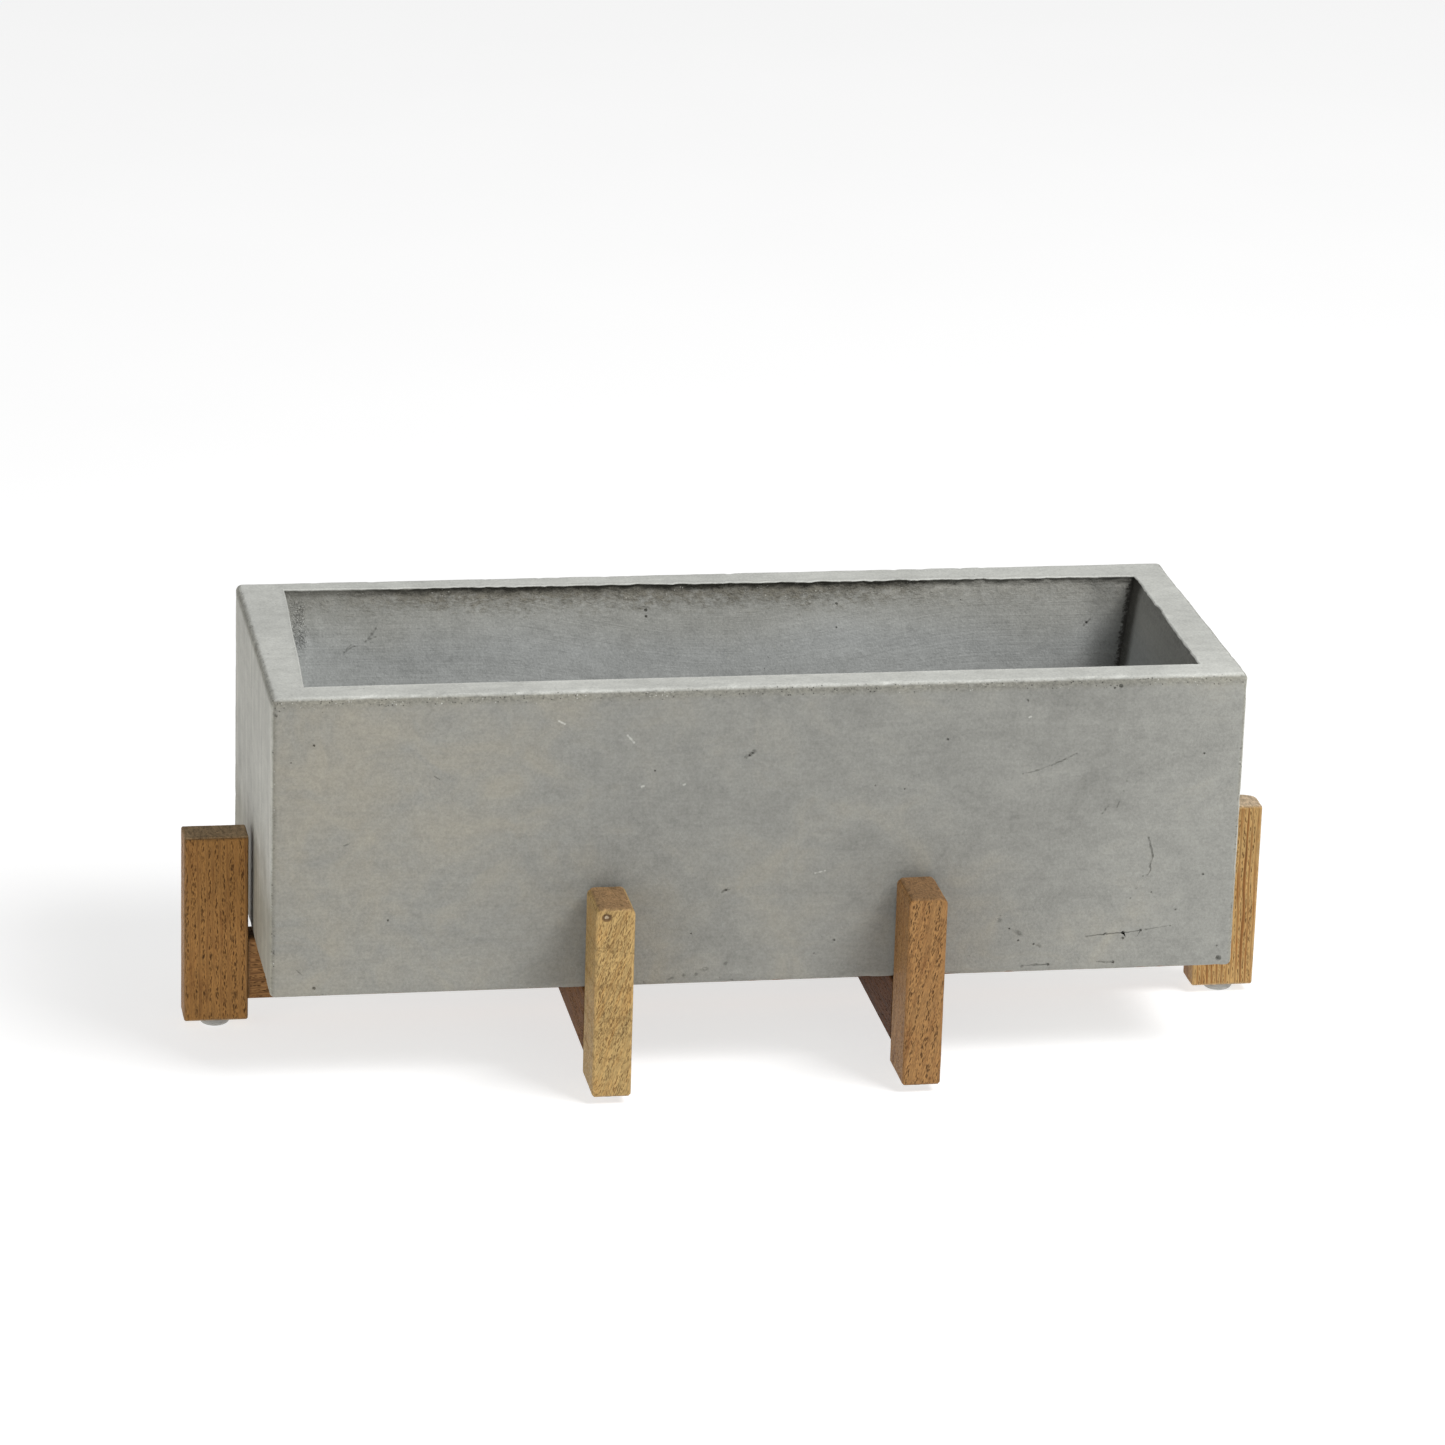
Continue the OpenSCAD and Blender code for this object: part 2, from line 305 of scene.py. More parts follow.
    # worn arrises: bared sand with pale stones and dark holes, more thickly in places
    ragged = here.cloud(4.5, 4.0, 0.65) * 5.0
    upper = (fromEnd + ragged * 0.7, fromSide + ragged * 0.25 + 0.9, fromTop * 0.42 + ragged * 0.4)
    lower = (fromEnd + ragged * 0.6, fromSide + ragged * 0.6, fromFoot + ragged)
    bared = nearest(upper, look["bareReach"]) | nearest(lower, look["bareReachFoot"]) * 0.5
    bared = bared * (1.0 - inside)
    wornThrough = bared.rise(0.1, 0.5)
    stones = here.cells(look["stoneSize"])
    chosen = here.cells(look["stoneSize"], "Color").split()[0]
    patchy = here.cloud(16.0, 3.0, 0.6).rise(-0.06, 0.14) * 0.34 + 0.66
    flecks = stones.rise(0.24, 0.4, 1.0, 0.0) * (chosen * patchy).rise(0.78, 0.82)
    flecks = flecks * (wornThrough | stain * 0.8)
    holes = stones.rise(0.2, 0.42, 1.0, 0.0) * chosen.rise(0.1, 0.14, 1.0, 0.0) * wornThrough
    colour = (bared * look["bareShare"]).mix(colour, look["worn"])
    tone = tone + bared * crumbs * 1.5
    colour = (flecks * look["fleckShare"]).mix(colour, look["fleck"])
    # smears and scratches, and a few pinholes and pale spots anywhere
    loose = here.cloud(5.0, 4.0, 0.7)
    across = x + loose * 3.0
    up = z + here.cloud(6.0, 4.0, 0.7) * 3.0
    smears = strokes(across, up, look["smears"]) * onFront * crumbs.rise(-0.12, 0.04)
    scuffs = strokes(x + loose, z, look["scuffs"]) * onFront
    nicks = strokes(across, up, look["nicks"]) * onBack
    scores = strokes(x, up, look["scores"]) * onBack
    colour = (smears * look["smearShare"] | nicks * look["nickShare"]).mix(colour, look["pit"])
    colour = (scuffs * look["scuffShare"] | scores * look["scoreShare"]).mix(colour, look["fleck"])
    pin = here.cells(look["pinholesApart"])
    pinChosen = here.cells(look["pinholesApart"], "Color").split()[1]
    pinholes = pin.rise(0.03, 0.06, 1.0, 0.0) * pinChosen.rise(0.8, 0.84)
    spots = (pin + crumbs * 0.2).rise(0.05, 0.11, 1.0, 0.0) * pinChosen.rise(0.12, 0.15, 1.0, 0.0)
    colour = (spots * look["spotShare"]).mix(colour, look["fleck"])
    # pinholes and the holes in bared arrises are painted dark: painted shade inside them
    colour = (pinholes * look["pinholeShare"] | holes * look["holeShare"]).mix(colour, look["pit"])
    colour = colour.vector("SCALE", tone)
    height = small * look["smallRelief"] + grain * (look["grainRelief"] + onEnd * look["endRelief"])
    height = height + sweep * look["sweepRelief"] + inside * boards * look["boardRelief"]
    height = height + (stain | seam) * crumbs * look["stainRelief"]
    height = height - pinholes * look["pinholeDepth"] - holes * look["holeDepth"]
    height = height + flecks * look["fleckRise"] + bared * crumbs * look["bareRelief"]
    height = height + blistered * squiggles * look["blisterRelief"]
    roughness = look["roughness"] + grain * 0.3 - rim * 0.06 + bared * 0.12
    finishMaterial(wire, colour, roughness, height)
    return material


def pitConcrete():        # the inside of a hole or a crack, painted dark: painted shade in the hollow
    material, wire = newMaterial("pitConcrete")
    here = objectSpot(wire)
    grain = here.cloud(0.5, 3.0, 0.6)
    colour = grain.rise(-0.2, 0.2).mix(paint(60, 60, 55), paint(104, 103, 96))
    roughness = grain * 0.3 + 0.85
    finishMaterial(wire, colour, roughness, grain * 0.1)
    return material


# what all the oak bars share: lumps in millimetres across, through and along the grain, and shares
oakGrain = {
    "bend": (34.0, 34.0, 120.0), "ripple": (5.0, 5.0, 34.0), "rippleShare": 0.16,
    "ringWander": (7.0, 7.0, 150.0), "ringWanderShare": 1.7,
    "fibre": (0.5, 0.5, 9.0), "fibreShade": 1.2,
    "strand": (1.5, 1.5, 26.0), "strandShade": 1.2,
    "patch": (10.0, 10.0, 38.0), "patchShade": 0.6,
    "blotch": 22.0, "blotchShade": 0.5,
    "widePores": (0.85, 0.85, 4.4), "narrowPores": (0.5, 0.5, 3.0),
    "endShare": 0.92, "wornShare": 0.5, "wornReach": 2.4,
    "fibreRelief": 0.18, "poreDepth": 0.28, "lateRise": 0.04, "patchRelief": 0.1, "endRelief": 0.3,
    "roughness": 0.5,
    "seedStep": (37.0, 61.0, 211.0),        # how far apart two seeds lie in the tree
}


def oakMaterial(node, look):
    grain = oakGrain
    low, high = (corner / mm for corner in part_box(node))
    material, wire = newMaterial("oak_" + node)
    here = objectSpot(wire, (low + high) / 2)
    turn = {"x": (0, math.pi / 2, 0), "y": (math.pi / 2, 0, 0), "z": (0, 0, 0)}[look["axis"]]
    laid = wire.node("ShaderNodeMapping", sockets={"Vector": here, "Rotation": turn})
    tilt = tuple(math.radians(angle) for angle in look["tilt"])
    seedAt = tuple(look["seed"] * step for step in grain["seedStep"])
    wood = wire.node("ShaderNodeMapping", sockets={"Vector": laid, "Rotation": tilt}).vector("ADD", seedAt)
    # rings round the pith, no two alike
    across, through = wood.split()[:2]
    bend = wood.cloud(grain["bend"], 2.0, 0.5) * look["waver"]
    ripple = wood.cloud(grain["ripple"], 2.0, 0.5) * look["waver"] * grain["rippleShare"]
    acrossPith = across - (seedAt[0] + look["pith"][0])
    throughPith = through - (seedAt[1] + look["pith"][1])
    radius = wire.maths("SQRT", acrossPith * acrossPith + throughPith * throughPith) + bend + ripple
    wander = wood.cloud(grain["ringWander"], 3.0, 0.7)
    radius = radius + wander * look["ringWidth"] * grain["ringWanderShare"]
    ring = wire.maths("FRACT", radius / look["ringWidth"])
    number = wire.maths("FLOOR", radius / look["ringWidth"]) + look["seed"]
    weight = wire.node("ShaderNodeTexWhiteNoise", {"noise_dimensions": "1D"}, {"W": number})
    early = ring.rise(0.0, 0.16) * ring.rise(0.3, 0.62, 1.0, 0.0)
    late = ring.rise(0.35, 0.8) * ring.rise(0.88, 1.0, 1.0, 0.0) * (0.3 + weight * 0.7)
    fibre = wood.cloud(grain["fibre"], 3.0, 0.7)
    strand = wood.cloud(grain["strand"], 3.0, 0.65)
    patch = wood.cloud(grain["patch"], 3.0, 0.6, 0.6)
    blotch = here.cloud(grain["blotch"], 3.0, 0.6)
    # long open pores, crowded into the start of each ring, with finer ones between
    wide = wood.cells(grain["widePores"]).rise(0.24, 0.42, 1.0, 0.0)
    narrow = wood.cells(grain["narrowPores"]).rise(0.2, 0.42, 1.0, 0.0)
    crowd = (early * 0.9 + look["scatter"] + patch * 1.2 + strand * 0.8).rise(0.1, 0.8)
    pores = wide * crowd | narrow * (0.2 + crowd * 0.6)
    ringLine = ring.rise(0.62, 0.85) * ring.rise(0.93, 1.0, 1.0, 0.0) * strand.rise(-0.2, 0.06) * weight
    tone = 1.0 + fibre * grain["fibreShade"] + strand * grain["strandShade"]
    tone = tone + patch * grain["patchShade"] + blotch * grain["blotchShade"]
    mixed = late * look["contrast"] + patch * 1.4 + blotch * 0.8 + strand * 1.2 + 0.25
    colour = mixed.rise(0.0, 1.0).mix(look["light"], look["dark"])
    colour = (ringLine * look["contrast"] * 0.55).mix(colour, look["pore"])
    colour = (pores * look["poreShade"]).mix(colour, look["pore"])
    # the ends of the grain drink more oil and go greyer
    x, y, z = here.split()
    half = (high - low) / 2
    edges = (half.x - x.size(), half.y - y.size(), half.z - z.size())
    ends = edges["xyz".index(look["axis"])].rise(0.5, 1.6, 1.0, 0.0)
    colour = (ends * grain["endShare"]).mix(colour, look["end"])
    cracked = here.cloud((3.0, 9.0, 3.0), 4.0, 0.7, 1.5)
    tone = tone + ends * (cracked * 2.0 - late * 0.12)
    worn = nearest([edge + blotch * 3.0 for edge in edges], grain["wornReach"]) * (1.0 - ends * 0.5)
    colour = (worn * grain["wornShare"]).mix(colour, look["worn"])
    height = fibre * grain["fibreRelief"] - pores * grain["poreDepth"] * look["poreDepth"]
    height = height + late * grain["lateRise"] + patch * grain["patchRelief"]
    height = height + ends * cracked * grain["endRelief"]
    roughness = grain["roughness"] + fibre * 0.3 + pores * 0.25 + ends * 0.15
    if "extra" in look:
        colour, height, roughness = look["extra"](wire, here, colour, height, roughness)
    colour = colour.vector("SCALE", tone)
    finishMaterial(wire, colour, roughness, height, Specular_IOR_Level=look["gloss"])
    return material


# the left front leg's own marks: torn bands (height above the leg's middle, half width) and the knot
knottyMarks = {
    "torn": [(10.0, 2.6), (-10.0, 2.2), (-19.0, 2.0), (34.0, 1.4), (-36.0, 1.8)],
    "tornTone": paint(118, 80, 40), "tornShare": 0.22, "tornDepth": 0.3,
    # the knot's pale heart is a painted highlight
    "knotAt": (-5.5, 55.6), "ringTone": paint(92, 66, 42), "heartHighlight": paint(196, 176, 146),
    "front": (-18.5, -17.0),        # y from which the knot fades out
}


def tornKnotty(wire, here, colour, height, roughness):
    marks = knottyMarks
    x, y, z = here.split()
    wander = here.cloud((7.0, 7.0, 2.2), 4.0, 0.7)
    bits = here.cloud((1.6, 1.6, 2.6), 3.0, 0.7)
    torn = None
    for level, reach in marks["torn"]:
        band = (z - level + wander * 12.0 + x * 0.12).size().rise(0.0, reach, 1.0, 0.0)
        torn = band if torn is None else torn | band
    torn = torn * bits.rise(-0.06, 0.05)
    colour = (torn * marks["tornShare"]).mix(colour, marks["tornTone"])
    # a dark ring round a hard, glossy heart, whose pale colour is a painted highlight
    offX = x - marks["knotAt"][0]
    offZ = z - marks["knotAt"][1]
    far = wire.maths("SQRT", offX * offX + offZ * offZ * 1.5) + bits * 1.2
    onFront = y.rise(*marks["front"], 1.0, 0.0)
    ring = far.rise(2.4, 3.8, 1.0, 0.0) * onFront
    heart = far.rise(0.9, 1.7, 1.0, 0.0) * onFront
    colour = (ring * 0.85).mix(colour, marks["ringTone"])
    colour = (heart * 0.9).mix(colour, marks["heartHighlight"])
    height = height - torn * marks["tornDepth"]
    roughness = roughness + torn * 0.2 - heart * 0.3
    return colour, height, roughness


# each bar: tones, grain direction and tilt, where the pith lies from its middle, rings and pores
woodLooks = {
    "front_leg_left": {
        "light": paint(192, 161, 105), "dark": paint(160, 122, 68), "pore": paint(106, 72, 38),
        "end": paint(154, 122, 86), "worn": paint(192, 160, 106), "axis": "z", "tilt": (2.0, -17.0, 0),
        "pith": (44.0, 60.0), "ringWidth": 4.0, "waver": 6.0, "scatter": 0.5, "contrast": 0.28,
        "poreShade": 0.72, "poreDepth": 1.0, "gloss": 0.25, "seed": 1, "extra": tornKnotty,
    },
    "front_leg_right": {
        "light": paint(170, 127, 76), "dark": paint(120, 80, 41), "pore": paint(72, 44, 20),
        "end": paint(140, 108, 74), "worn": paint(146, 106, 62), "axis": "z", "tilt": (3.0, -12.0, 0),
        "pith": (-50.0, 46.0), "ringWidth": 3.4, "waver": 7.0, "scatter": 0.42, "contrast": 0.3,
        "poreShade": 0.88, "poreDepth": 1.0, "gloss": 0.25, "seed": 2,
    },
    "end_leg_left": {
        "light": paint(174, 126, 68), "dark": paint(120, 80, 38), "pore": paint(58, 34, 14),
        # this leg's pale end grain is painted light, brightening its top that lies in shade
        "end": paint(178, 152, 118), "worn": paint(134, 102, 64), "axis": "z", "tilt": (0.5, 1.0, 0),
        "pith": (84.0, 26.0), "ringWidth": 4.5, "waver": 4.5, "scatter": 0.2, "contrast": 0.3,
        "poreShade": 0.85, "poreDepth": 1.0, "gloss": 0.2, "seed": 3,
    },
    "end_leg_right": {
        "light": paint(198, 160, 102), "dark": paint(140, 94, 44), "pore": paint(84, 50, 22),
        "end": paint(192, 172, 146), "worn": paint(194, 160, 108), "axis": "z", "tilt": (0.5, 1.5, 0),
        "pith": (70.0, 16.0), "ringWidth": 3.0, "waver": 5.0, "scatter": 0.0, "contrast": 0.8,
        "poreShade": 0.8, "poreDepth": 0.8, "gloss": 0.25, "seed": 4,
    },
    "back_leg_left": {
        "light": paint(156, 112, 62), "dark": paint(112, 74, 36), "pore": paint(66, 40, 20),
        "end": paint(128, 104, 76), "worn": paint(124, 92, 56), "axis": "z", "tilt": (-3.0, 5.0, 0),
        "pith": (-50.0, 50.0), "ringWidth": 3.6, "waver": 6.0, "scatter": 0.15, "contrast": 0.5,
        "poreShade": 0.9, "poreDepth": 1.0, "gloss": 0.25, "seed": 5,
    },
    "back_leg_right": {
        "light": paint(188, 150, 92), "dark": paint(142, 98, 48), "pore": paint(90, 56, 26),
        "end": paint(156, 128, 92), "worn": paint(184, 150, 98), "axis": "z", "tilt": (3.0, -4.0, 0),
        "pith": (60.0, -30.0), "ringWidth": 3.8, "waver": 6.0, "scatter": 0.15, "contrast": 0.5,
        "poreShade": 0.9, "poreDepth": 0.9, "gloss": 0.25, "seed": 6,
    },
    "long_rail": {
        "light": paint(158, 116, 72), "dark": paint(112, 78, 46), "pore": paint(60, 36, 18),
        "end": paint(112, 86, 58), "worn": paint(120, 82, 48), "axis": "x", "tilt": (0.6, 1.0, 0),
        "pith": (40.0, 30.0), "ringWidth": 2.4, "waver": 4.0, "scatter": 0.1, "contrast": 0.7,
        "poreShade": 0.9, "poreDepth": 0.9, "gloss": 0.1, "seed": 7,
    },
    "cross_rail_left": {
        "light": paint(124, 80, 32), "dark": paint(86, 50, 17), "pore": paint(48, 28, 12),
        "end": paint(104, 78, 52), "worn": paint(108, 74, 42), "axis": "y", "tilt": (1.0, 1.0, 0),
        "pith": (50.0, 20.0), "ringWidth": 3.2, "waver": 4.0, "scatter": 0.1, "contrast": 0.6,
        "poreShade": 0.9, "poreDepth": 0.9, "gloss": 0.05, "seed": 8,
    },
    "cross_rail_right": {
        "light": paint(98, 58, 26), "dark": paint(66, 37, 14), "pore": paint(40, 22, 9),
        "end": paint(96, 72, 48), "worn": paint(88, 56, 30), "axis": "y", "tilt": (-1.0, 1.0, 0),
        "pith": (-36.0, 44.0), "ringWidth": 3.6, "waver": 4.0, "scatter": 0.1, "contrast": 0.6,
        "poreShade": 0.9, "poreDepth": 0.9, "gloss": 0.05, "seed": 9,
    },
}


def beechMaterial():        # the dowels: pale, plain, short flecks
    material, wire = newMaterial("beech")
    here = objectSpot(wire)
    fibre = here.cloud((1.4, 1.4, 1.4), 4.0, 0.65)
    flecks = here.cells((1.6, 1.6, 1.6)).rise(0.18, 0.3, 1.0, 0.0)
    colour = fibre.rise(-0.3, 0.3).mix(paint(224, 190, 146), paint(204, 166, 120))
    colour = (flecks * 0.4).mix(colour, paint(170, 122, 80))
    finishMaterial(wire, colour, 0.6 + fibre * 0.2, fibre * 0.05 - flecks * 0.04)
    return material


def glideMaterial():        # moulded grey-white plastic, scuffed
    material, wire = newMaterial("glidePlastic")
    here = objectSpot(wire)
    scuffs = here.cloud((3.0, 3.0, 0.8), 5.0, 0.7)
    skin = here.cloud(0.5, 2.0, 0.6)
    colour = scuffs.rise(-0.25, 0.25).mix(paint(180, 180, 176), paint(148, 147, 142))
    finishMaterial(wire, colour, 0.42 + scuffs * 0.4, skin * 0.03 + scuffs * 0.04)
    return material


def nailMaterial():        # drawn steel
    material, wire = newMaterial("nailSteel")
    here = objectSpot(wire)
    drawn = here.cloud((0.25, 0.25, 9.0), 3.0, 0.6)
    colour = drawn.rise(-0.3, 0.3).mix(paint(178, 180, 184), paint(136, 138, 142))
    finishMaterial(wire, colour, 0.34 + drawn * 0.3, drawn * 0.03, Metallic=1.0)
    return material


# Shapes are worked out in millimetres, and meshObject turns them into metres.

def gridLine(low, high, radius, spacing, keep=()):        # close together on the two arrises
    steps = [radius * math.tan(math.radians(angle)) for angle in (45, 33, 22, 11)]
    stops = [low + radius, *sorted(keep), high - radius]
    line = [low + radius - step for step in steps]
    for start, end in zip(stops, stops[1:]):
        count = max(1, round((end - start) / spacing))
        line += [start + (end - start) * step / count for step in range(count)]
    return np.array(line + [high - radius] + [high - radius + step for step in reversed(steps)])


def boxShell(lines):        # points and outward quads over a box with those grid lines
    counts = [len(line) for line in lines]
    inner = np.zeros(counts, bool)
    inner[1:-1, 1:-1, 1:-1] = True
    spots = np.argwhere(~inner)
    ids = np.full(counts, -1)
    ids[tuple(spots.T)] = np.arange(len(spots))
    points = np.stack([lines[axis][spots[:, axis]] for axis in range(3)], 1)
    quads = []
    for axis in range(3):
        for end in (0, counts[axis] - 1):
            sheet = np.take(ids, end, axis)
            corners = [sheet[:-1, :-1], sheet[1:, :-1], sheet[1:, 1:], sheet[:-1, 1:]]
            quad = np.stack(corners, -1).reshape(-1, 4)
            quads.append(quad if (end > 0) != (axis == 1) else quad[:, ::-1])
    return points, np.concatenate(quads)


def easeArrises(points, low, high, radius):        # radius: one number, or one for each point
    reach = np.broadcast_to(np.asarray(radius, float).reshape(-1, 1), (len(points), 1))
    core = np.clip(points, low + reach, high - reach)
    out = points - core
    return core + out / np.linalg.norm(out, axis=1, keepdims=True) * reach


def roundCorner(points, axes, corner, radius):        # rounds one edge more, seen along the third axis
    towards = np.sign(corner)
    centre = corner - towards * radius
    leg = (points[:, axes] - centre) * towards
    inIt = (leg > 0).all(1)
    far = np.linalg.norm(leg[inIt], axis=1, keepdims=True)
    square = leg[inIt].max(1, keepdims=True)
    points[np.ix_(inIt, axes)] = centre + towards * leg[inIt] * np.where(far > 0, square / far, 1)
    return points


def waver(points, size, seed):        # smooth noise, about -1 to 1
    spots = points / np.asarray(size, float) + seed * 17.31
    return np.array([noise.noise(spot) for spot in spots])


def smooth(values, low, high):
    share = np.clip((values - low) / (high - low), 0, 1)
    return share * share * (3 - 2 * share)


def weld(points, quads):        # joins points that lie on one another and drops the unused
    rounded = np.round(points, 4)
    first, back = np.unique(rounded, axis=0, return_index=True, return_inverse=True)[1:]
    quads = back.reshape(-1)[quads]
    used, quads = np.unique(quads, return_inverse=True)
    return points[first[used]], quads.reshape(-1, 4)


def meshObject(name, points, faces, attributes=None, edges=()):
    mesh = bpy.data.meshes.new(name)
    metres = (np.asarray(points, float) * mm).tolist()
    mesh.from_pydata(metres, list(edges), [list(map(int, face)) for face in faces])
    for label, (kind, values) in (attributes or {}).items():
        layer = mesh.attributes.new(label, kind, "POINT")
        field = "vector" if kind == "FLOAT_VECTOR" else "value"
        layer.data.foreach_set(field, np.asarray(values, np.float32).ravel())
    mesh.update()
    piece = bpy.data.objects.new(name, mesh)
    bpy.context.scene.collection.objects.link(piece)
    return piece


def meshVolume(mesh):
    mesh.calc_loop_triangles()
    spots = np.empty(len(mesh.vertices) * 3, np.float32)
    mesh.vertices.foreach_get("co", spots)
    corners = np.empty(len(mesh.loop_triangles) * 3, np.int32)
    mesh.loop_triangles.foreach_get("vertices", corners)
    a, b, c = spots.reshape(-1, 3).astype(float)[corners.reshape(-1, 3)].transpose(1, 0, 2)
    return float((np.cross(a, b) * c).sum() / 6)


def newTree(name, inputs):        # inputs: label -> socket type
    tree = bpy.data.node_groups.new(name, "GeometryNodeTree")
    tree.interface.new_socket(name="Geometry", in_out="OUTPUT", socket_type="NodeSocketGeometry")
    for label, kind in {"Geometry": "Geometry", **inputs}.items():
        tree.interface.new_socket(name=label, in_out="INPUT", socket_type="NodeSocket" + kind)
    given = Wire(tree).node("NodeGroupInput")
    return tree, given


def bakeTree(piece, tree, values):        # runs the tree and keeps its mesh
    modifier = piece.modifiers.new(tree.name, "NODES")
    modifier.node_group = tree
    for item in tree.interface.items_tree:
        if item.in_out == "INPUT" and item.name in values:
            modifier[item.identifier] = values[item.name]
    bakeModifiers(piece)


def bakeModifiers(piece):
    graph = bpy.context.evaluated_depsgraph_get()
    made = bpy.data.meshes.new_from_object(piece.evaluated_get(graph), depsgraph=graph)
    piece.modifiers.clear()
    piece.data = made
    made.name = piece.name


def hideTools(*pieces):        # helpers that aren't part of the planter
    for piece in pieces:
        bpy.data.objects.remove(piece)


troughShape = {
    "arris": 4.0, "arrisPlay": (0.7, 0.5),        # the play is slow, then quick along the edge
    "alongSpacing": 2.3, "acrossSpacing": 4.4,
    "endWall": 25.0, "sideWall": 22.0, "floorThick": 22.0, "endDraft": 6.5, "sideDraft": 3.0,
    "mouthEdge": 1.5, "mouthDrop": 0.3,        # how round the mouth's edge is, and how low it lies
    # how far each corner of the mouth was cast off its true place
    "mouthShift": {(-1, -1): (-3.0, 0.5), (1, -1): (-1.0, 0.0), (1, 1): (1.0, -5.5), (-1, 1): (4.5, 6.5)},
    "chipFrom": 0.22, "chipDepth": 1.4, "chipDepthFront": 1.6, "hollowDepth": 0.28, "dentDepth": 0.12,
    "breakDepth": 1.5, "breakWander": 0.5, "undercut": 2.0, "wallWander": (0.7, 0.3), "floorWander": 0.6,
    "blisterAt": (-262.0, 226.0), "blisterReach": (8.0, 15.0), "blisterHeight": 2.2,
    # half the drain holes' distance apart, and their width
    "drainX": 181.8, "drainY": 48.05, "drainDia": 12.0,
    "pitSmall": 0.28, "pitLarge": 0.9, "pitsPerSquareMetre": 4200.0, "pitApart": 2.6,
    # share of the pits: anywhere, near the front's long edges, by the upright arrises, by the back seam
    "pitsAnywhere": 0.014, "pitsAtEdges": 0.12, "pitsAtArrises": 0.3, "pitsAtSeam": 0.7, "seamX": 268.0,
    # pitted places in the front face: x and z, reach, share
    "pittedPlaces": [((165, 84), (26, 14), 0.6), ((50, 66), (22, 8), 0.6), ((288, 66), (12, 10), 0.5)],
    "holeStandsOut": 0.35, "crackStandsOut": 0.2, "backHoleStandsOut": 0.5,
    "crackStep": 1.1, "crackWander": 1.6, "crackEnd": 0.6,
    "drillLength": 40.0, "seed": 7,
}

# x, z and radius of the larger holes in the front face
frontHoles = [
    (-297.2, 240.5, 1.1), (-274.3, 221.1, 0.9), (-228.6, 107.8, 0.8), (-273.2, 65.4, 1.2),
    (219.8, 245.1, 1.5), (216.0, 244.0, 0.8), (113.1, 213.8, 0.9), (274.6, 200.1, 0.8),
    (278.3, 120.6, 0.9), (87.4, 182.6, 0.6), (291.2, 64.8, 2.0), (229.3, 83.8, 1.1),
    (229.4, 80.2, 1.0), (217.9, 83.3, 0.9), (240.5, 85.0, 0.9), (47.1, 85.4, 0.9),
    (-16.1, 61.2, 1.3), (-42.2, 92.8, 0.7), (-67.2, 199.0, 0.7), (258.1, 61.4, 1.0),
    (182.5, 64.4, 1.0), (223.8, 64.6, 1.0), (172.9, 78.2, 0.8), (163.0, 81.0, 0.8),
    (157.0, 89.0, 0.7), (-7.5, 208.6, 0.9), (-9.4, 207.0, 0.8), (-21.4, 120.4, 1.0),
    (246.0, 110.0, 0.6), (262.0, 98.0, 0.6),
]

# cracks and scratches in the front face: x, z along each, then the width
frontCracks = [
    ([(161.2, 190.2), (169.5, 191.6), (177.5, 194.7)], 0.5),
    ([(178.5, 194.9), (186.5, 198.2), (194.2, 202.4)], 0.66),
    ([(242.2, 146.0), (244.4, 139.5), (245.6, 133.5), (244.2, 128.0)], 0.75),
    ([(244.2, 128.0), (244.9, 124.5), (242.8, 121.0)], 0.6),
    ([(206.6, 82.4), (217.9, 83.1), (229.3, 83.7), (240.5, 84.8)], 0.5),
    ([(244.0, 85.4), (259.1, 87.5)], 0.44),
    ([(167.1, 63.9), (175.0, 64.3), (182.5, 64.3)], 0.5),
    ([(214.8, 64.9), (223.8, 64.4)], 0.5),
    ([(-201.8, 199.5), (-198.1, 197.0)], 0.45),
    ([(-284.2, 78.0), (-281.0, 74.5)], 0.4),
]

# holes inside the planting space, on its back wall: x, z and radius
backHoles = [
    (-40.6, 233.5, 1.3), (-40.4, 229.4, 1.2), (82.3, 235.1, 1.2), (82.7, 219.8, 0.8), (246.0, 220.0, 1.0),
]


def around(x, z, place, reach):        # 1 at a place, fading out over that reach
    return np.exp(-(((x - place[0]) / reach[0]) ** 2 + ((z - place[1]) / reach[1]) ** 2))


def mouthOffset(spots, half):        # how far the skewed mouth stands off its true place
    u, v = (spots / half).clip(-1, 1).T
    total = np.zeros_like(spots)
    for (sideX, sideY), shift in troughShape["mouthShift"].items():
        total += ((1 + sideX * u) * (1 + sideY * v) / 4)[:, None] * np.array(shift)
    return total


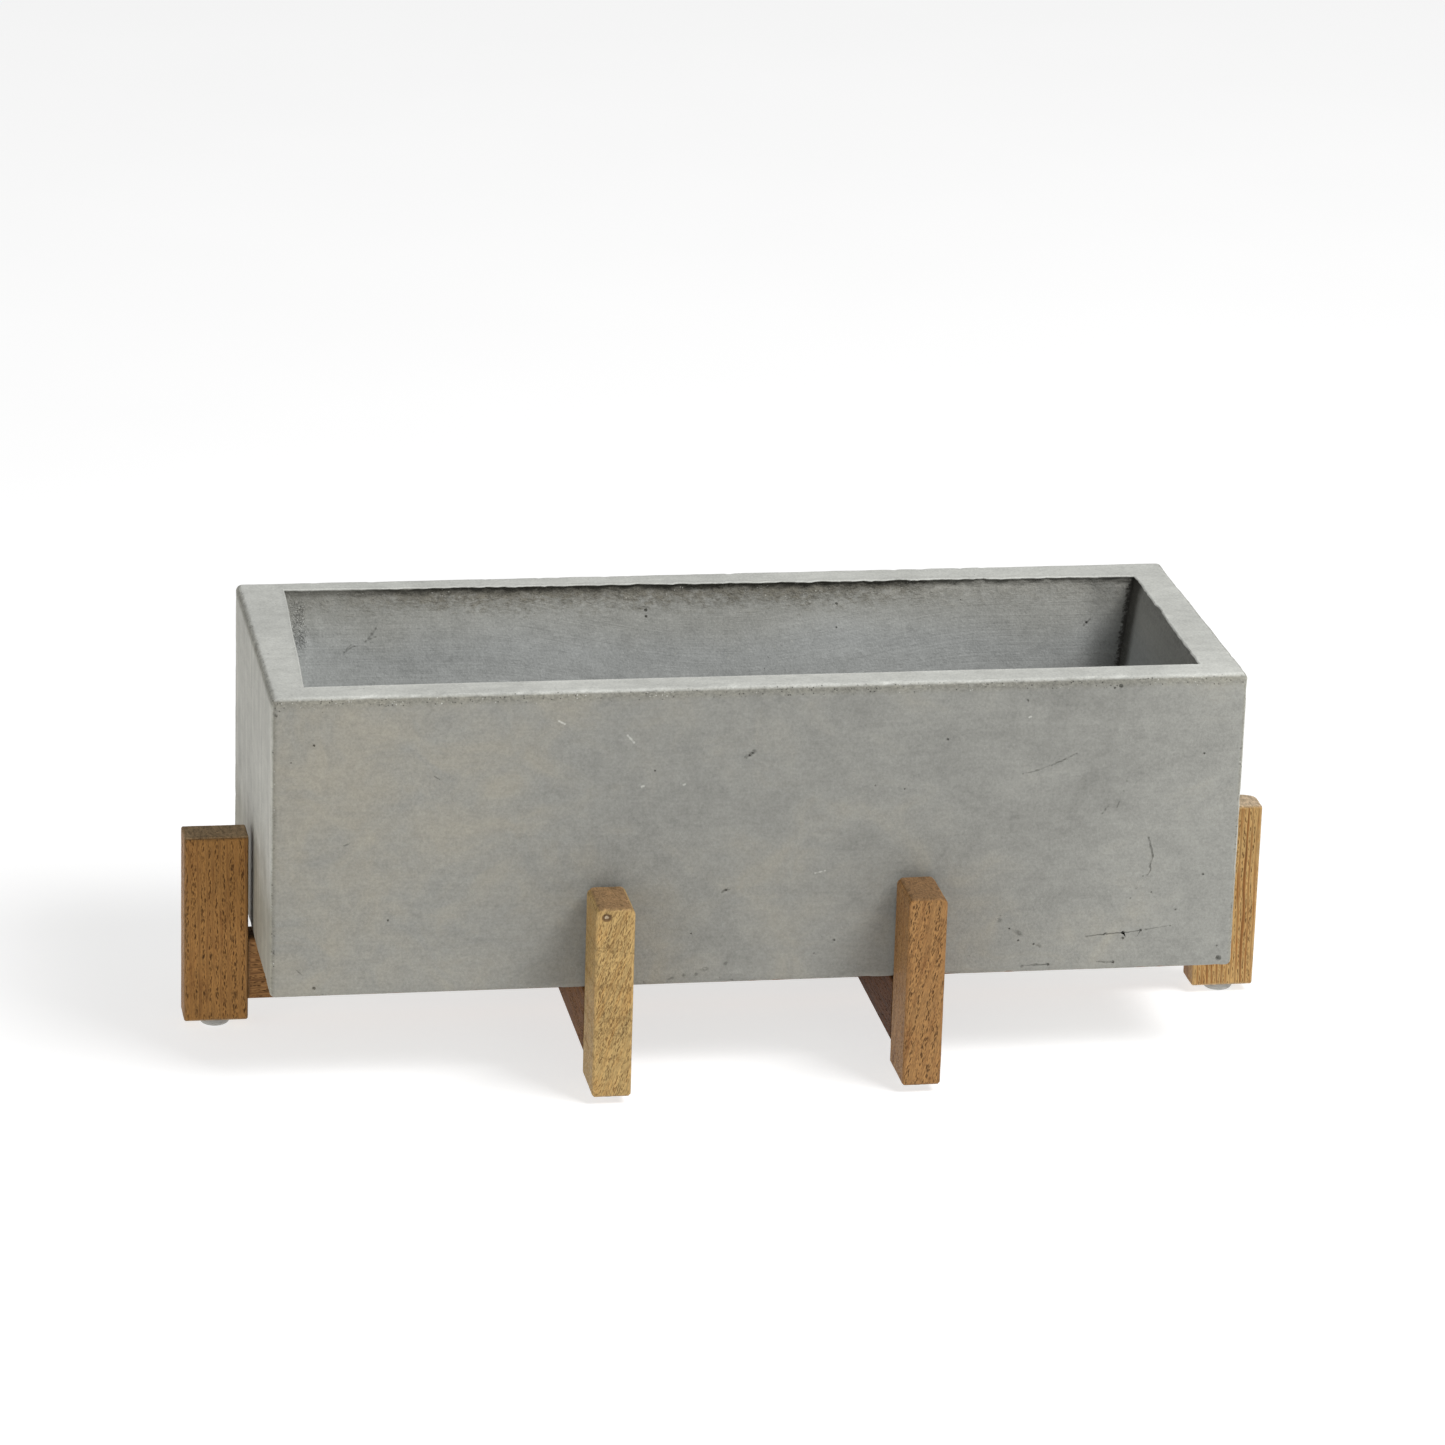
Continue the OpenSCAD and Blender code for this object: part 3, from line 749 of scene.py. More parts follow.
def castTrough(concrete, pitted):
    shape = troughShape
    low, high = (np.array(corner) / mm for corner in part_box("trough"))
    mouth = high[:2] - (shape["endWall"], shape["sideWall"])
    foot = low[2] + shape["floorThick"]
    depth = high[2] - foot
    lean = np.tan(np.radians([shape["endDraft"], shape["sideDraft"]]))
    edge = shape["mouthEdge"]
    arris = shape["arris"]
    space = shape["acrossSpacing"]
    hair = 0.01        # anything nearer than this is the same place
    outerLines = [
        gridLine(low[0], high[0], arris, shape["alongSpacing"], (-mouth[0], mouth[0])),
        gridLine(low[1], high[1], arris, space, (-mouth[1], mouth[1])),
        gridLine(low[2], high[2], arris, space),
    ]
    # the walls' levels, closer together near the mouth
    nearMouth = np.array([6.6, 5.2, 4.0, 3.0, 2.2, 1.5, 0.9, 0.4, 0.12, 0.0])
    plainLevels = np.linspace(foot, high[2] - 8, round((depth - 8) / space) + 1)
    wallLine = np.concatenate([plainLevels, high[2] - nearMouth])
    innerLines = [line[np.abs(line) <= half + hair] for line, half in zip(outerLines[:2], mouth)]
    innerLines.append(wallLine)

    def edgeOut(spots):        # how far each side pushes outwards, at a spot on or beyond the mouth
        return np.sign(spots) * (np.abs(spots) >= mouth - hair)

    def raggedness(spots):        # the back edge of the mouth is broken, most in the middle
        back = smooth(spots[:, 1], mouth[1] - 8, mouth[1] - 1)
        middle = smooth(spots[:, 0], -250, -150) * (1 - 0.6 * smooth(spots[:, 0], 120, 230))
        right = smooth(spots[:, 0], mouth[0] - 4, mouth[0]) * 0.5
        return np.maximum(back * (0.25 + 0.75 * middle), right)

    def edgeBreak(spots, level):        # broken bits along the edge, in millimetres outwards
        at = np.column_stack([spots, level])
        lumps = waver(at, (9, 9, 5), 3) * shape["breakDepth"]
        lumps = lumps + waver(at, (3.2, 3.2, 2.4), 4) * shape["breakDepth"]
        return raggedness(spots) * lumps + waver(at, (60, 60, 60), 5) * shape["breakWander"]

    # outside: box with rounded arrises, chipped here and there, its top drawn to the mouth's edge
    points, quads = boxShell(outerLines)
    flat = points[quads]
    overMouth = (flat[:, :, 2] > high[2] - hair).all(1) & (np.abs(flat[:, :, :2]) <= mouth + hair).all((1, 2))
    quads = quads[~overMouth]
    onTop = points[:, 2] > high[2] - hair
    lattice = points.copy()
    slow, quick = shape["arrisPlay"]
    rounding = arris + slow * waver(points, (30, 30, 30), 1) + quick * waver(points, (7, 7, 7), 12)
    points = easeArrises(points, low, high, rounding)
    outwards = points - np.clip(points, low + 9, high - 9)
    outwards /= np.linalg.norm(outwards, axis=1, keepdims=True)
    edges = np.sort(np.minimum(lattice - low, high - lattice), axis=1)[:, 1]        # next nearest face
    onArris = 1 - smooth(edges, 2.0, 6.0)
    topFront = smooth(lattice[:, 2], high[2] - 10, high[2] - 2) * (lattice[:, 1] < 0)
    chipDepth = shape["chipDepth"] + shape["chipDepthFront"] * topFront
    chips = np.clip(waver(lattice, (6, 6, 6), 2) - shape["chipFrom"], 0, 1) * chipDepth * onArris
    hollows = (0.5 + 0.5 * waver(lattice, (90, 90, 70), 6)) * shape["hollowDepth"]
    hollows = hollows + np.clip(waver(lattice, (22, 22, 14), 7), 0, 1) * shape["dentDepth"]
    points = points - outwards * (chips + hollows)[:, None]
    near = lattice[:, :2].clip(-mouth, mouth)
    beyond = (np.abs(lattice[:, :2]) - mouth).clip(0) / (high[:2] - mouth - arris)
    fade = (1 - beyond.max(1)).clip(0, 1)[:, None] * onTop[:, None]
    lip = edgeOut(lattice[:, :2]) * (edge + edgeBreak(near, np.full(len(near), high[2])))[:, None]
    points[:, :2] += fade * (mouthOffset(near, mouth) + lip)
    points[onTop & (fade[:, 0] > 0.999), 2] = high[2] - shape["mouthDrop"]
    outside, outsideQuads = weld(points, quads)

    # planting space: walls that lean in, a rounded edge, an undercut below the broken back edge
    inside, walls = boxShell(innerLines)
    lids = (inside[walls][:, :, 2] > high[2] - hair).all(1)
    walls = walls[~lids][:, ::-1]
    down = high[2] - inside[:, 2]
    spots = inside[:, :2].copy()
    onEdge = edgeOut(spots)
    shrink = 1 - down[:, None] * lean / mouth
    drop = np.clip(down / edge, 0, 1)
    roundOff = edge * (1 - np.sqrt(1 - (1 - drop) ** 2))
    breaks = edgeBreak(spots, inside[:, 2]) * (1 - smooth(down, 3, 16) * 0.8)
    undercut = raggedness(spots) * shape["undercut"] * smooth(down, 0.8, 2.6) * (1 - smooth(down, 4.0, 11.0))
    slow, quick = shape["wallWander"]
    wander = waver(inside, (70, 70, 40), 8) * slow + waver(inside, (16, 16, 9), 9) * quick
    push = roundOff + breaks + undercut + wander * smooth(down, 0, 10)
    blister = around(spots[:, 0], inside[:, 2], shape["blisterAt"], shape["blisterReach"])
    blister = blister * (spots[:, 1] > 80)
    push = push + blister * waver(inside, (4, 4, 4), 10) * shape["blisterHeight"] * smooth(down, 0, 6)
    skew = mouthOffset(spots, mouth) * (1 - down / depth)[:, None]
    placed = spots * shrink + skew + onEdge * push[:, None]
    onFloor = down > depth - hair
    level = inside[:, 2] + onFloor * waver(inside, (40, 40, 40), 11) * shape["floorWander"]
    level = np.where(down < hair, high[2] - shape["mouthDrop"], level)
    cavity = np.column_stack([placed, level])

    points = np.concatenate([outside, cavity])
    quads = np.concatenate([outsideQuads, walls + len(outside)])
    points, quads = weld(points, quads)

    # how thickly each spot is pitted, 0 to 1
    x, y, z = points.T
    front = y < 3 - high[1]
    belt = 1 - smooth(np.minimum(z - low[2], high[2] - z), 4, 26)
    share = shape["pitsAnywhere"] + shape["pitsAtEdges"] * belt * front
    for place, reach, most in shape["pittedPlaces"]:
        share = share + most * (around(x, z, place, reach) * front)
    share = share + around(x, z, shape["blisterAt"], (12, 18)) * (y > 80) * (y < 105)
    share = share + shape["pitsAtArrises"] * (np.exp(-((np.abs(x) - 296) / 5) ** 2) * (np.abs(y) > 108))
    share = share + shape["pitsAtSeam"] * (np.exp(-((x - shape["seamX"]) / 4) ** 2) * (y > 74) * (y < 96))
    piece = meshObject("castTrough", points, quads, {"pitDensity": ("FLOAT", share.clip(0, 1))})

    # the larger holes, in the front face and in the back wall of the planting space
    holes = [(holeX, low[1] + shape["holeStandsOut"], holeZ, girth) for holeX, holeZ, girth in frontHoles]
    for holeX, holeZ, girth in backHoles:
        down = high[2] - holeZ
        wall = (mouth[1] + shape["backHoleStandsOut"]) * (1 - down * lean[1] / mouth[1])
        skew = mouthOffset(np.array([[holeX, mouth[1]]]), mouth)[0, 1] * (1 - down / depth)
        holes.append((holeX, wall + skew, holeZ, girth))
    holes = np.array(holes)
    places = meshObject("largerHoles", holes[:, :3], [], {"girth": ("FLOAT", holes[:, 3] * mm)})
    line = []
    links = []
    girths = []
    for crack, width in frontCracks:
        links += [(len(line) + step, len(line) + step + 1) for step in range(len(crack) - 1)]
        line += [(crackX, low[1] + shape["crackStandsOut"], crackZ) for crackX, crackZ in crack]
        tips = (0, len(crack) - 1)
        girths += [width * mm * (shape["crackEnd"] if step in tips else 1.0) for step in range(len(crack))]
    cracks = meshObject("crackLines", line, [], {"girth": ("FLOAT", girths)}, links)
    bakeTree(piece, castingPits(concrete, pitted), {
        "Smallest": shape["pitSmall"] * mm, "Largest": shape["pitLarge"] * mm,
        "Most per square metre": shape["pitsPerSquareMetre"], "Apart": shape["pitApart"] * mm,
        "Larger holes": places, "Cracks": cracks,
        "Crack step": shape["crackStep"] * mm, "Crack wander": shape["crackWander"] * mm,
        "Drain X": shape["drainX"] * 2 * mm, "Drain Y": shape["drainY"] * 2 * mm,
        "Drain radius": shape["drainDia"] / 2 * mm, "Drain height": (low[2] + shape["floorThick"] / 2) * mm,
        "Drill length": shape["drillLength"] * mm, "Seed": shape["seed"],
    })
    hideTools(places, cracks)
    return piece


def castingPits(concrete, pitted):        # air holes, cracks and drain holes, cut out of the casting
    tree, given = newTree("castingPits", {
        "Smallest": "Float", "Largest": "Float", "Most per square metre": "Float", "Apart": "Float",
        "Larger holes": "Object", "Cracks": "Object", "Crack step": "Float", "Crack wander": "Float",
        "Drain X": "Float", "Drain Y": "Float", "Drain radius": "Float", "Drain height": "Float",
        "Drill length": "Float", "Seed": "Int",
    })
    density = given.node("GeometryNodeInputNamedAttribute", {"data_type": "FLOAT"}, {"Name": "pitDensity"})
    scattered = given.node("GeometryNodeDistributePointsOnFaces", {"distribute_method": "POISSON"}, {
        "Mesh": given, "Distance Min": given.out("Apart"), "Density Max": given.out("Most per square metre"),
        "Density Factor": density, "Seed": given.out("Seed")})
    dice = given.node("FunctionNodeRandomValue", {"data_type": "FLOAT"}, {2: 0.0, 3: 1.0, 8: 3}, 1)
    girth = given.out("Smallest") + (given.out("Largest") - given.out("Smallest")) * dice * dice * dice
    sized = given.node("GeometryNodeStoreNamedAttribute", {"data_type": "FLOAT"}, {
        "Geometry": scattered, "Name": "girth", "Value": girth})
    larger = given.out("Larger holes")
    placed = given.node("GeometryNodeObjectInfo", sockets={"Object": larger}, output="Geometry")
    placed = given.node("GeometryNodeMeshToPoints", sockets={"Mesh": placed})
    spots = given.node("GeometryNodeJoinGeometry")
    for part in (sized, placed):
        tree.links.new(part.socket, spots.socket.node.inputs[0])
    ball = given.node("GeometryNodeMeshIcoSphere", sockets={"Radius": 1.0, "Subdivisions": 2})
    size = given.node("GeometryNodeInputNamedAttribute", {"data_type": "FLOAT"}, {"Name": "girth"})
    turned = given.node("FunctionNodeRandomValue", {"data_type": "FLOAT_VECTOR"}, {
        0: (0, 0, 0), 1: (6.3, 6.3, 6.3), 8: 5})
    balls = given.node("GeometryNodeInstanceOnPoints", sockets={
        "Points": spots, "Instance": ball, "Rotation": turned, "Scale": size})
    # a crack is a thin tube that wanders in and out of the surface
    lines = given.node("GeometryNodeObjectInfo", sockets={"Object": given.out("Cracks")}, output="Geometry")
    curve = given.node("GeometryNodeMeshToCurve", sockets={"Mesh": lines})
    curve = given.node("GeometryNodeResampleCurve", {"mode": "LENGTH"}, {
        "Curve": curve, "Length": given.out("Crack step")})
    spot = given.node("GeometryNodeInputPosition")
    noiseAt = {"Vector": spot, "Scale": 420.0, "Detail": 2.0}
    shake = given.node("ShaderNodeTexNoise", sockets=noiseAt, output="Color")
    shift = shake.vector("SUBTRACT", (0.5, 0.5, 0.5)).vector("MULTIPLY", (1.0, 0.5, 1.0))
    shift = shift.vector("SCALE", given.out("Crack wander"))
    curve = given.node("GeometryNodeSetPosition", sockets={"Geometry": curve, "Offset": shift})
    tube = given.node("GeometryNodeCurvePrimitiveCircle", sockets={"Resolution": 6, "Radius": 1.0})
    tubes = given.node("GeometryNodeCurveToMesh", sockets={
        "Curve": curve, "Profile Curve": tube, "Scale": size, "Fill Caps": True})
    hollow = given.node("GeometryNodeJoinGeometry")
    balls = given.node("GeometryNodeRealizeInstances", sockets={"Geometry": balls})
    for part in (balls, tubes):
        tree.links.new(part.socket, hollow.socket.node.inputs[0])
    # the insides of the holes and cracks take the dark material: painted shade
    dark = given.node("GeometryNodeSetMaterial", sockets={"Geometry": hollow, "Material": pitted})
    # drain holes at the corners of a rectangle
    four = given.node("GeometryNodeMeshGrid", sockets={
        "Size X": given.out("Drain X"), "Size Y": given.out("Drain Y"), "Vertices X": 2, "Vertices Y": 2})
    bit = given.node("GeometryNodeMeshCylinder", sockets={
        "Vertices": 48, "Radius": given.out("Drain radius"), "Depth": given.out("Drill length")})
    lift = given.node("ShaderNodeCombineXYZ", sockets={"Z": given.out("Drain height")})
    four = given.node("GeometryNodeSetPosition", sockets={"Geometry": four, "Offset": lift})
    bits = given.node("GeometryNodeInstanceOnPoints", sockets={"Points": four, "Instance": bit})
    bits = given.node("GeometryNodeRealizeInstances", sockets={"Geometry": bits})
    drains = given.node("GeometryNodeSetMaterial", sockets={"Geometry": bits, "Material": concrete})
    body = given.node("GeometryNodeSetMaterial", sockets={"Geometry": given, "Material": concrete})
    cut = given.node("GeometryNodeMeshBoolean", {"operation": "DIFFERENCE", "solver": "MANIFOLD"}, {
        "Mesh 1": body})
    for part in (dark, drains):
        tree.links.new(part.socket, cut.socket.node.inputs["Mesh 2"])
    whole = given.node("GeometryNodeRealizeInstances", sockets={"Geometry": cut})
    # smooth all over, but for the edges that turn sharply
    rounded = given.node("GeometryNodeSetShadeSmooth", {"domain": "FACE"}, {
        "Geometry": whole, "Shade Smooth": True})
    bend = given.node("GeometryNodeInputMeshEdgeAngle")
    steep = given.node("FunctionNodeCompare", {"data_type": "FLOAT", "operation": "GREATER_THAN"}, {
        0: bend, 1: 0.7})
    edged = given.node("GeometryNodeSetShadeSmooth", {"domain": "EDGE"}, {
        "Geometry": rounded, "Selection": steep, "Shade Smooth": False})
    inHoles = given.node("GeometryNodeMaterialSelection", sockets={"Material": pitted})
    plain = given.node("FunctionNodeBooleanMath", {"operation": "NOT"}, {0: inHoles})
    done = given.node("GeometryNodeSetMaterial", sockets={
        "Geometry": edged, "Selection": plain, "Material": concrete})
    given.node("NodeGroupOutput", sockets={0: done})
    return tree


legShape = {
    "spacing": 1.0, "arris": 1.5, "arrisPlay": 0.45, "footRound": 2.0,
    "topRound": (2.4, 4.4),        # legs at the ends, legs at the front and back
    "softEdge": {"end_leg_right": 9.0},        # how round this leg's outer upright edge is, at the back
    "wearDepth": 0.12, "sharpFrom": 0.8,
    "boreRadius": 4.05, "boreDepth": 19.0, "boreHeights": (29.0, 49.0), "boreSteps": 32,
    "nailRadius": 1.05, "nailTop": 18.5,
    "lead": (3.0, 2.0),        # how far the dowel bits and the nail start outside the leg
    "knot": {"leg": "front_leg_left", "at": (-101.5, 121.6), "radius": 2.3, "heart": 0.9, "depth": 1.3},
}


def bore(place, axis, start, end, radius):        # a straight hole, as turnedForm takes it
    profile = [(0, start), (radius, start), (radius, end), (0, end)]
    return turnedForm(profile, legShape["boreSteps"], place, axis)


def cutLeg(node, outward, material, seed):        # outward: the axis and side that the leg stands away on
    shape = legShape
    low, high = (np.array(corner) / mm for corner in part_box(node))
    middle = (low + high) / 2
    lines = [gridLine(low[axis], high[axis], shape["arris"], shape["spacing"]) for axis in range(3)]
    points, quads = boxShell(lines)
    lattice = points.copy()
    radius = shape["arris"] + shape["arrisPlay"] * waver(lattice, (9, 9, 16), seed)
    points = easeArrises(points, low, high, radius)
    outAxis, outSide = outward
    across = 1 - outAxis
    local = points - middle
    half = (high - low) / 2
    for side in (-1, 1):
        top = np.array([side * half[across], half[2]])
        foot = np.array([side * half[across], -half[2]])
        local = roundCorner(local, [across, 2], top, shape["topRound"][outAxis])
        local = roundCorner(local, [across, 2], foot, shape["footRound"])
    if node in shape["softEdge"]:
        local = roundCorner(local, [0, 1], np.array([outSide * half[0], half[1]]), shape["softEdge"][node])
    points = local + middle
    out = local - np.clip(local, -half + 6, half - 6)
    out /= np.linalg.norm(out, axis=1, keepdims=True)
    worn = (0.5 + 0.5 * waver(lattice, (14, 14, 60), seed + 30)) * shape["wearDepth"]
    worn = worn + np.clip(waver(lattice, (2.2, 2.2, 16), seed + 50), 0, 1) * shape["wearDepth"]
    knot = shape["knot"]
    if node == knot["leg"]:
        far = np.hypot(points[:, 0] - knot["at"][0], (points[:, 2] - knot["at"][1]) * 1.25)
        onFront = points[:, 1] < low[1] + 3
        dish = np.exp(-(far / knot["radius"]) ** 4) * knot["depth"]
        dish = dish - np.exp(-(far / knot["heart"]) ** 2) * knot["depth"] * 0.7
        worn = worn + dish * onFront
    points = points - out * worn[:, None]
    points, quads = weld(points, quads)
    piece = meshObject(node + "_oak", points, quads)
    piece.data.materials.append(material)
    # holes for the dowels, from the inner face, and for the glide's nail, from the foot
    away = np.zeros(3)
    away[outAxis] = outSide
    start = middle - away * half[outAxis]
    before, below = shape["lead"]
    bores = []
    for height in shape["boreHeights"]:
        place = [start[0], start[1], height] - away * before
        bores.append(bore(place, away, 0, shape["boreDepth"] + before, shape["boreRadius"]))
    place = [middle[0], middle[1], 0]
    bores.append(bore(place, (0, 0, 1), below, shape["nailTop"], shape["nailRadius"]))
    tool = meshObject("boreTool", *joinForms(bores))
    cut = piece.modifiers.new("bores", "BOOLEAN")
    cut.operation = "DIFFERENCE"
    cut.solver = "MANIFOLD"
    cut.object = tool
    bakeModifiers(piece)
    hideTools(tool)
    piece.data.shade_smooth()
    piece.data.set_sharp_from_angle(angle=shape["sharpFrom"])
    return piece


def turnedForm(profile, steps, place=(0, 0, 0), axis=(0, 0, 1), flutes=0, fluteDepth=0.0):
    # profile: radius and height, from the axis round to the axis again
    turns = np.arange(steps) * 2 * math.pi / steps
    points, rings = [], []
    for radius, height in profile:
        if radius <= 0:
            rings.append([len(points)])
            points.append((0.0, 0.0, height))
            continue
        rings.append(list(range(len(points), len(points) + steps)))
        for turn in turns:
            reach = radius - (fluteDepth * (0.5 - 0.5 * math.cos(flutes * turn)) if flutes else 0.0)
            points.append((reach * math.cos(turn), reach * math.sin(turn), height))
    faces = []
    for lower, upper in zip(rings, rings[1:]):
        for step in range(steps):
            after = (step + 1) % steps
            if len(lower) == 1:
                faces.append((lower[0], upper[after], upper[step]))
            elif len(upper) == 1:
                faces.append((lower[step], lower[after], upper[0]))
            else:
                faces.append((lower[step], lower[after], upper[after], upper[step]))
    turn = Vector((0, 0, 1)).rotation_difference(Vector(tuple(float(part) for part in axis))).to_matrix()
    points = np.array(points) @ np.array(turn).T + np.array(place, float)
    return points, faces


def joinForms(forms):
    points, faces = [], []
    for spots, parts in forms:
        faces += [tuple(corner + sum(map(len, points)) for corner in part) for part in parts]
        points.append(spots)
    return np.concatenate(points), faces


glideShape = {
    "radius": 9.5, "round": 3.0, "height": 5.0, "cover": 1.5, "headRoom": 1.05, "head": 3.05, "shank": 1.05,
    "rib": 2.2, "ribWidth": 0.3, "recess": 3.4, "recessDepth": 0.14,        # inwards from the flat's edge
    "steps": 48,
}
dowelShape = {
    "radius": 4.0, "length": 40.0, "chamfer": 1.0, "flutes": 18, "fluteDepth": 0.32,
    "inLeg": 18.0, "steps": 72,
}
nailShape = {
    "head": 3.0, "headThick": 1.0, "shank": 1.0, "length": 16.0, "point": 3.0, "cover": 1.5, "steps": 24,
}


def glideProfile():
    shape = glideShape
    head = shape["head"]
    shank = shape["shank"]
    radius = shape["radius"]
    height = shape["height"]
    cover = shape["cover"]
    headTop = cover + shape["headRoom"]
    ring = [(0, cover), (head, cover), (head, headTop), (shank, headTop), (shank, height)]
    # a slightly rounded upper edge, then the round foot
    ring += [(radius - 0.4, height), (radius - 0.1, height - 0.12), (radius, height - 0.45)]
    bend = shape["round"]
    flat = radius - bend
    for angle in range(0, 91, 10):
        turn = math.radians(angle)
        ring.append((flat + bend * math.cos(turn), bend - bend * math.sin(turn)))
    raised = shape["recessDepth"]
    ring.append((flat - shape["rib"], 0.0))
    ring.append((flat - shape["rib"] - shape["ribWidth"], raised))
    return ring + [(flat - shape["recess"], raised), (0, raised)]


def dowelProfile():
    shape = dowelShape
    tip = shape["radius"] - shape["chamfer"]
    length = shape["length"]
    heights = np.linspace(shape["chamfer"], length - shape["chamfer"], 9)
    body = [(shape["radius"], float(height)) for height in heights]
    return [(0, 0), (tip, 0), *body, (tip, length), (0, length)]


def nailProfile():
    shape = nailShape
    head = shape["head"]
    thick = shape["headThick"]
    shank = shape["shank"]
    length = shape["length"]
    return [
        (0, 0), (head * 0.85, 0), (head, 0.2), (head, thick - 0.2), (head * 0.9, thick), (shank + 0.2, thick),
        (shank, thick + 0.3), (shank, length - shape["point"]), (shank * 0.15, length - 0.1), (0, length),
    ]


def turnedSet():        # one form, set at every place and turned to face that place's way
    tree, given = newTree("turnedSet", {"Form": "Object", "Material": "Material"})
    facing = given.node("GeometryNodeInputNamedAttribute", {"data_type": "FLOAT_VECTOR"}, {"Name": "facing"})
    turn = given.node("FunctionNodeAlignRotationToVector", {"axis": "Z"}, {"Vector": facing})
    form = given.node("GeometryNodeObjectInfo", sockets={"Object": given.out("Form")}, output="Geometry")
    points = given.node("GeometryNodeMeshToPoints", sockets={"Mesh": given})
    copies = given.node("GeometryNodeInstanceOnPoints", sockets={
        "Points": points, "Instance": form, "Rotation": turn})
    whole = given.node("GeometryNodeRealizeInstances", sockets={"Geometry": copies})
    done = given.node("GeometryNodeSetMaterial", sockets={
        "Geometry": whole, "Material": given.out("Material")})
    given.node("NodeGroupOutput", sockets={0: done})
    return tree


def setOut(name, tree, form, places, facing, material):
    piece = meshObject(name, places, [], {"facing": ("FLOAT_VECTOR", facing)})
    bakeTree(piece, tree, {"Form": form, "Material": material})
    if meshVolume(piece.data) < 0:
        piece.data.flip_normals()
    piece.data.shade_smooth()
    piece.data.set_sharp_from_angle(angle=0.6)
    return piece


# build it, piece by piece
concrete = castConcrete()
trough = castTrough(concrete, pitConcrete())
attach(trough, planter)
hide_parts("trough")
litres = meshVolume(trough.data) * 1000
print("trough cast:", len(trough.data.vertices), "points,", round(litres, 3), "litres of concrete")

oaks = {node: oakMaterial(node, look) for node, look in woodLooks.items()}
# the way each leg faces, as axis and side, and its oak
legSides = {
    "end_leg_left": ((0, -1), "oak_brown"), "end_leg_right": ((0, 1), "oak_golden"),
    "front_leg_left": ((1, -1), "oak_pale"), "front_leg_right": ((1, -1), "oak_brown"),
    "back_leg_left": ((1, 1), "oak_brown"), "back_leg_right": ((1, 1), "oak_golden"),
}
for seed, (node, (outward, oak)) in enumerate(legSides.items(), 1):
    leg = cutLeg(node, outward, oaks[node], seed)
    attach(leg, cradle)
    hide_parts(node)
print("legs cut:", len(legSides))

for node in ("long_rail", "cross_rail_left", "cross_rail_right"):
    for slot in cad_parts[node].material_slots:
        slot.material = oaks[node]
print("rails oiled")

parts = turnedSet()
glideForm = meshObject("glideForm", *turnedForm(glideProfile(), glideShape["steps"]))
fluted = {"flutes": dowelShape["flutes"], "fluteDepth": dowelShape["fluteDepth"]}
dowelForm = meshObject("dowelForm", *turnedForm(dowelProfile(), dowelShape["steps"], **fluted))
nailForm = meshObject("nailForm", *turnedForm(nailProfile(), nailShape["steps"]))
plastic = glideMaterial()
beech = beechMaterial()
steel = nailMaterial()
upwards = (0, 0, 1)
feet = []
for node, facing in legSides.items():
    axis, side = facing[0]
    low, high = (np.array(corner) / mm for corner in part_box(node))
    middle = (low + high) / 2
    place = node.replace("_leg", "")
    out = np.zeros(3)
    out[axis] = side
    foot = [middle[0], middle[1], 0.0]
    feet.append(foot)
    glide = setOut("glide_" + place + "_moulded", parts, glideForm, [foot], [upwards], plastic)
    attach(glide, cradle)
    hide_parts("glide_" + place)
    face = middle - out * (high - low)[axis] / 2
    tail = face - out * (dowelShape["length"] - dowelShape["inLeg"])
    tails = [[tail[0], tail[1], height] for height in legShape["boreHeights"]]
    dowels = setOut("dowels_" + place + "_fluted", parts, dowelForm, tails, [tuple(out)] * 2, beech)
    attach(dowels, cradle)
    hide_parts("dowels_" + place)
heads = [[foot[0], foot[1], nailShape["cover"]] for foot in feet]
nails = setOut("glide_nails_drawn", parts, nailForm, heads, [upwards] * len(heads), steel)
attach(nails, cradle)
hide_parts("glide_nails")
hideTools(glideForm, dowelForm, nailForm)
print("glides, dowels and nails set")


# the studio: metres and watts
studio = {
    "floorSize": 14.0, "floor": paint(190, 190, 190), "floorPale": paint(194, 194, 194), "floorGlow": 0.66,
    "world": 0.28, "aim": (0.0, 0.0, 0.15),
    "keyPower": 128.0, "keyAt": (1.9, -1.7, 3.3), "keySize": 1.8,
    "fillPower": 12.0, "fillAt": (-2.2, -1.8, 0.55), "fillSize": 1.3,
}
# the camera: degrees, metres, and the lens in millimetres
view = {
    "turn": 10.306, "rise": 18.83, "roll": 1.783, "away": 3.7639, "target": (-0.0058, 0.0, 0.1888),
    "lens": 150.09, "sensor": 36.0, "farthest": 60.0,
}


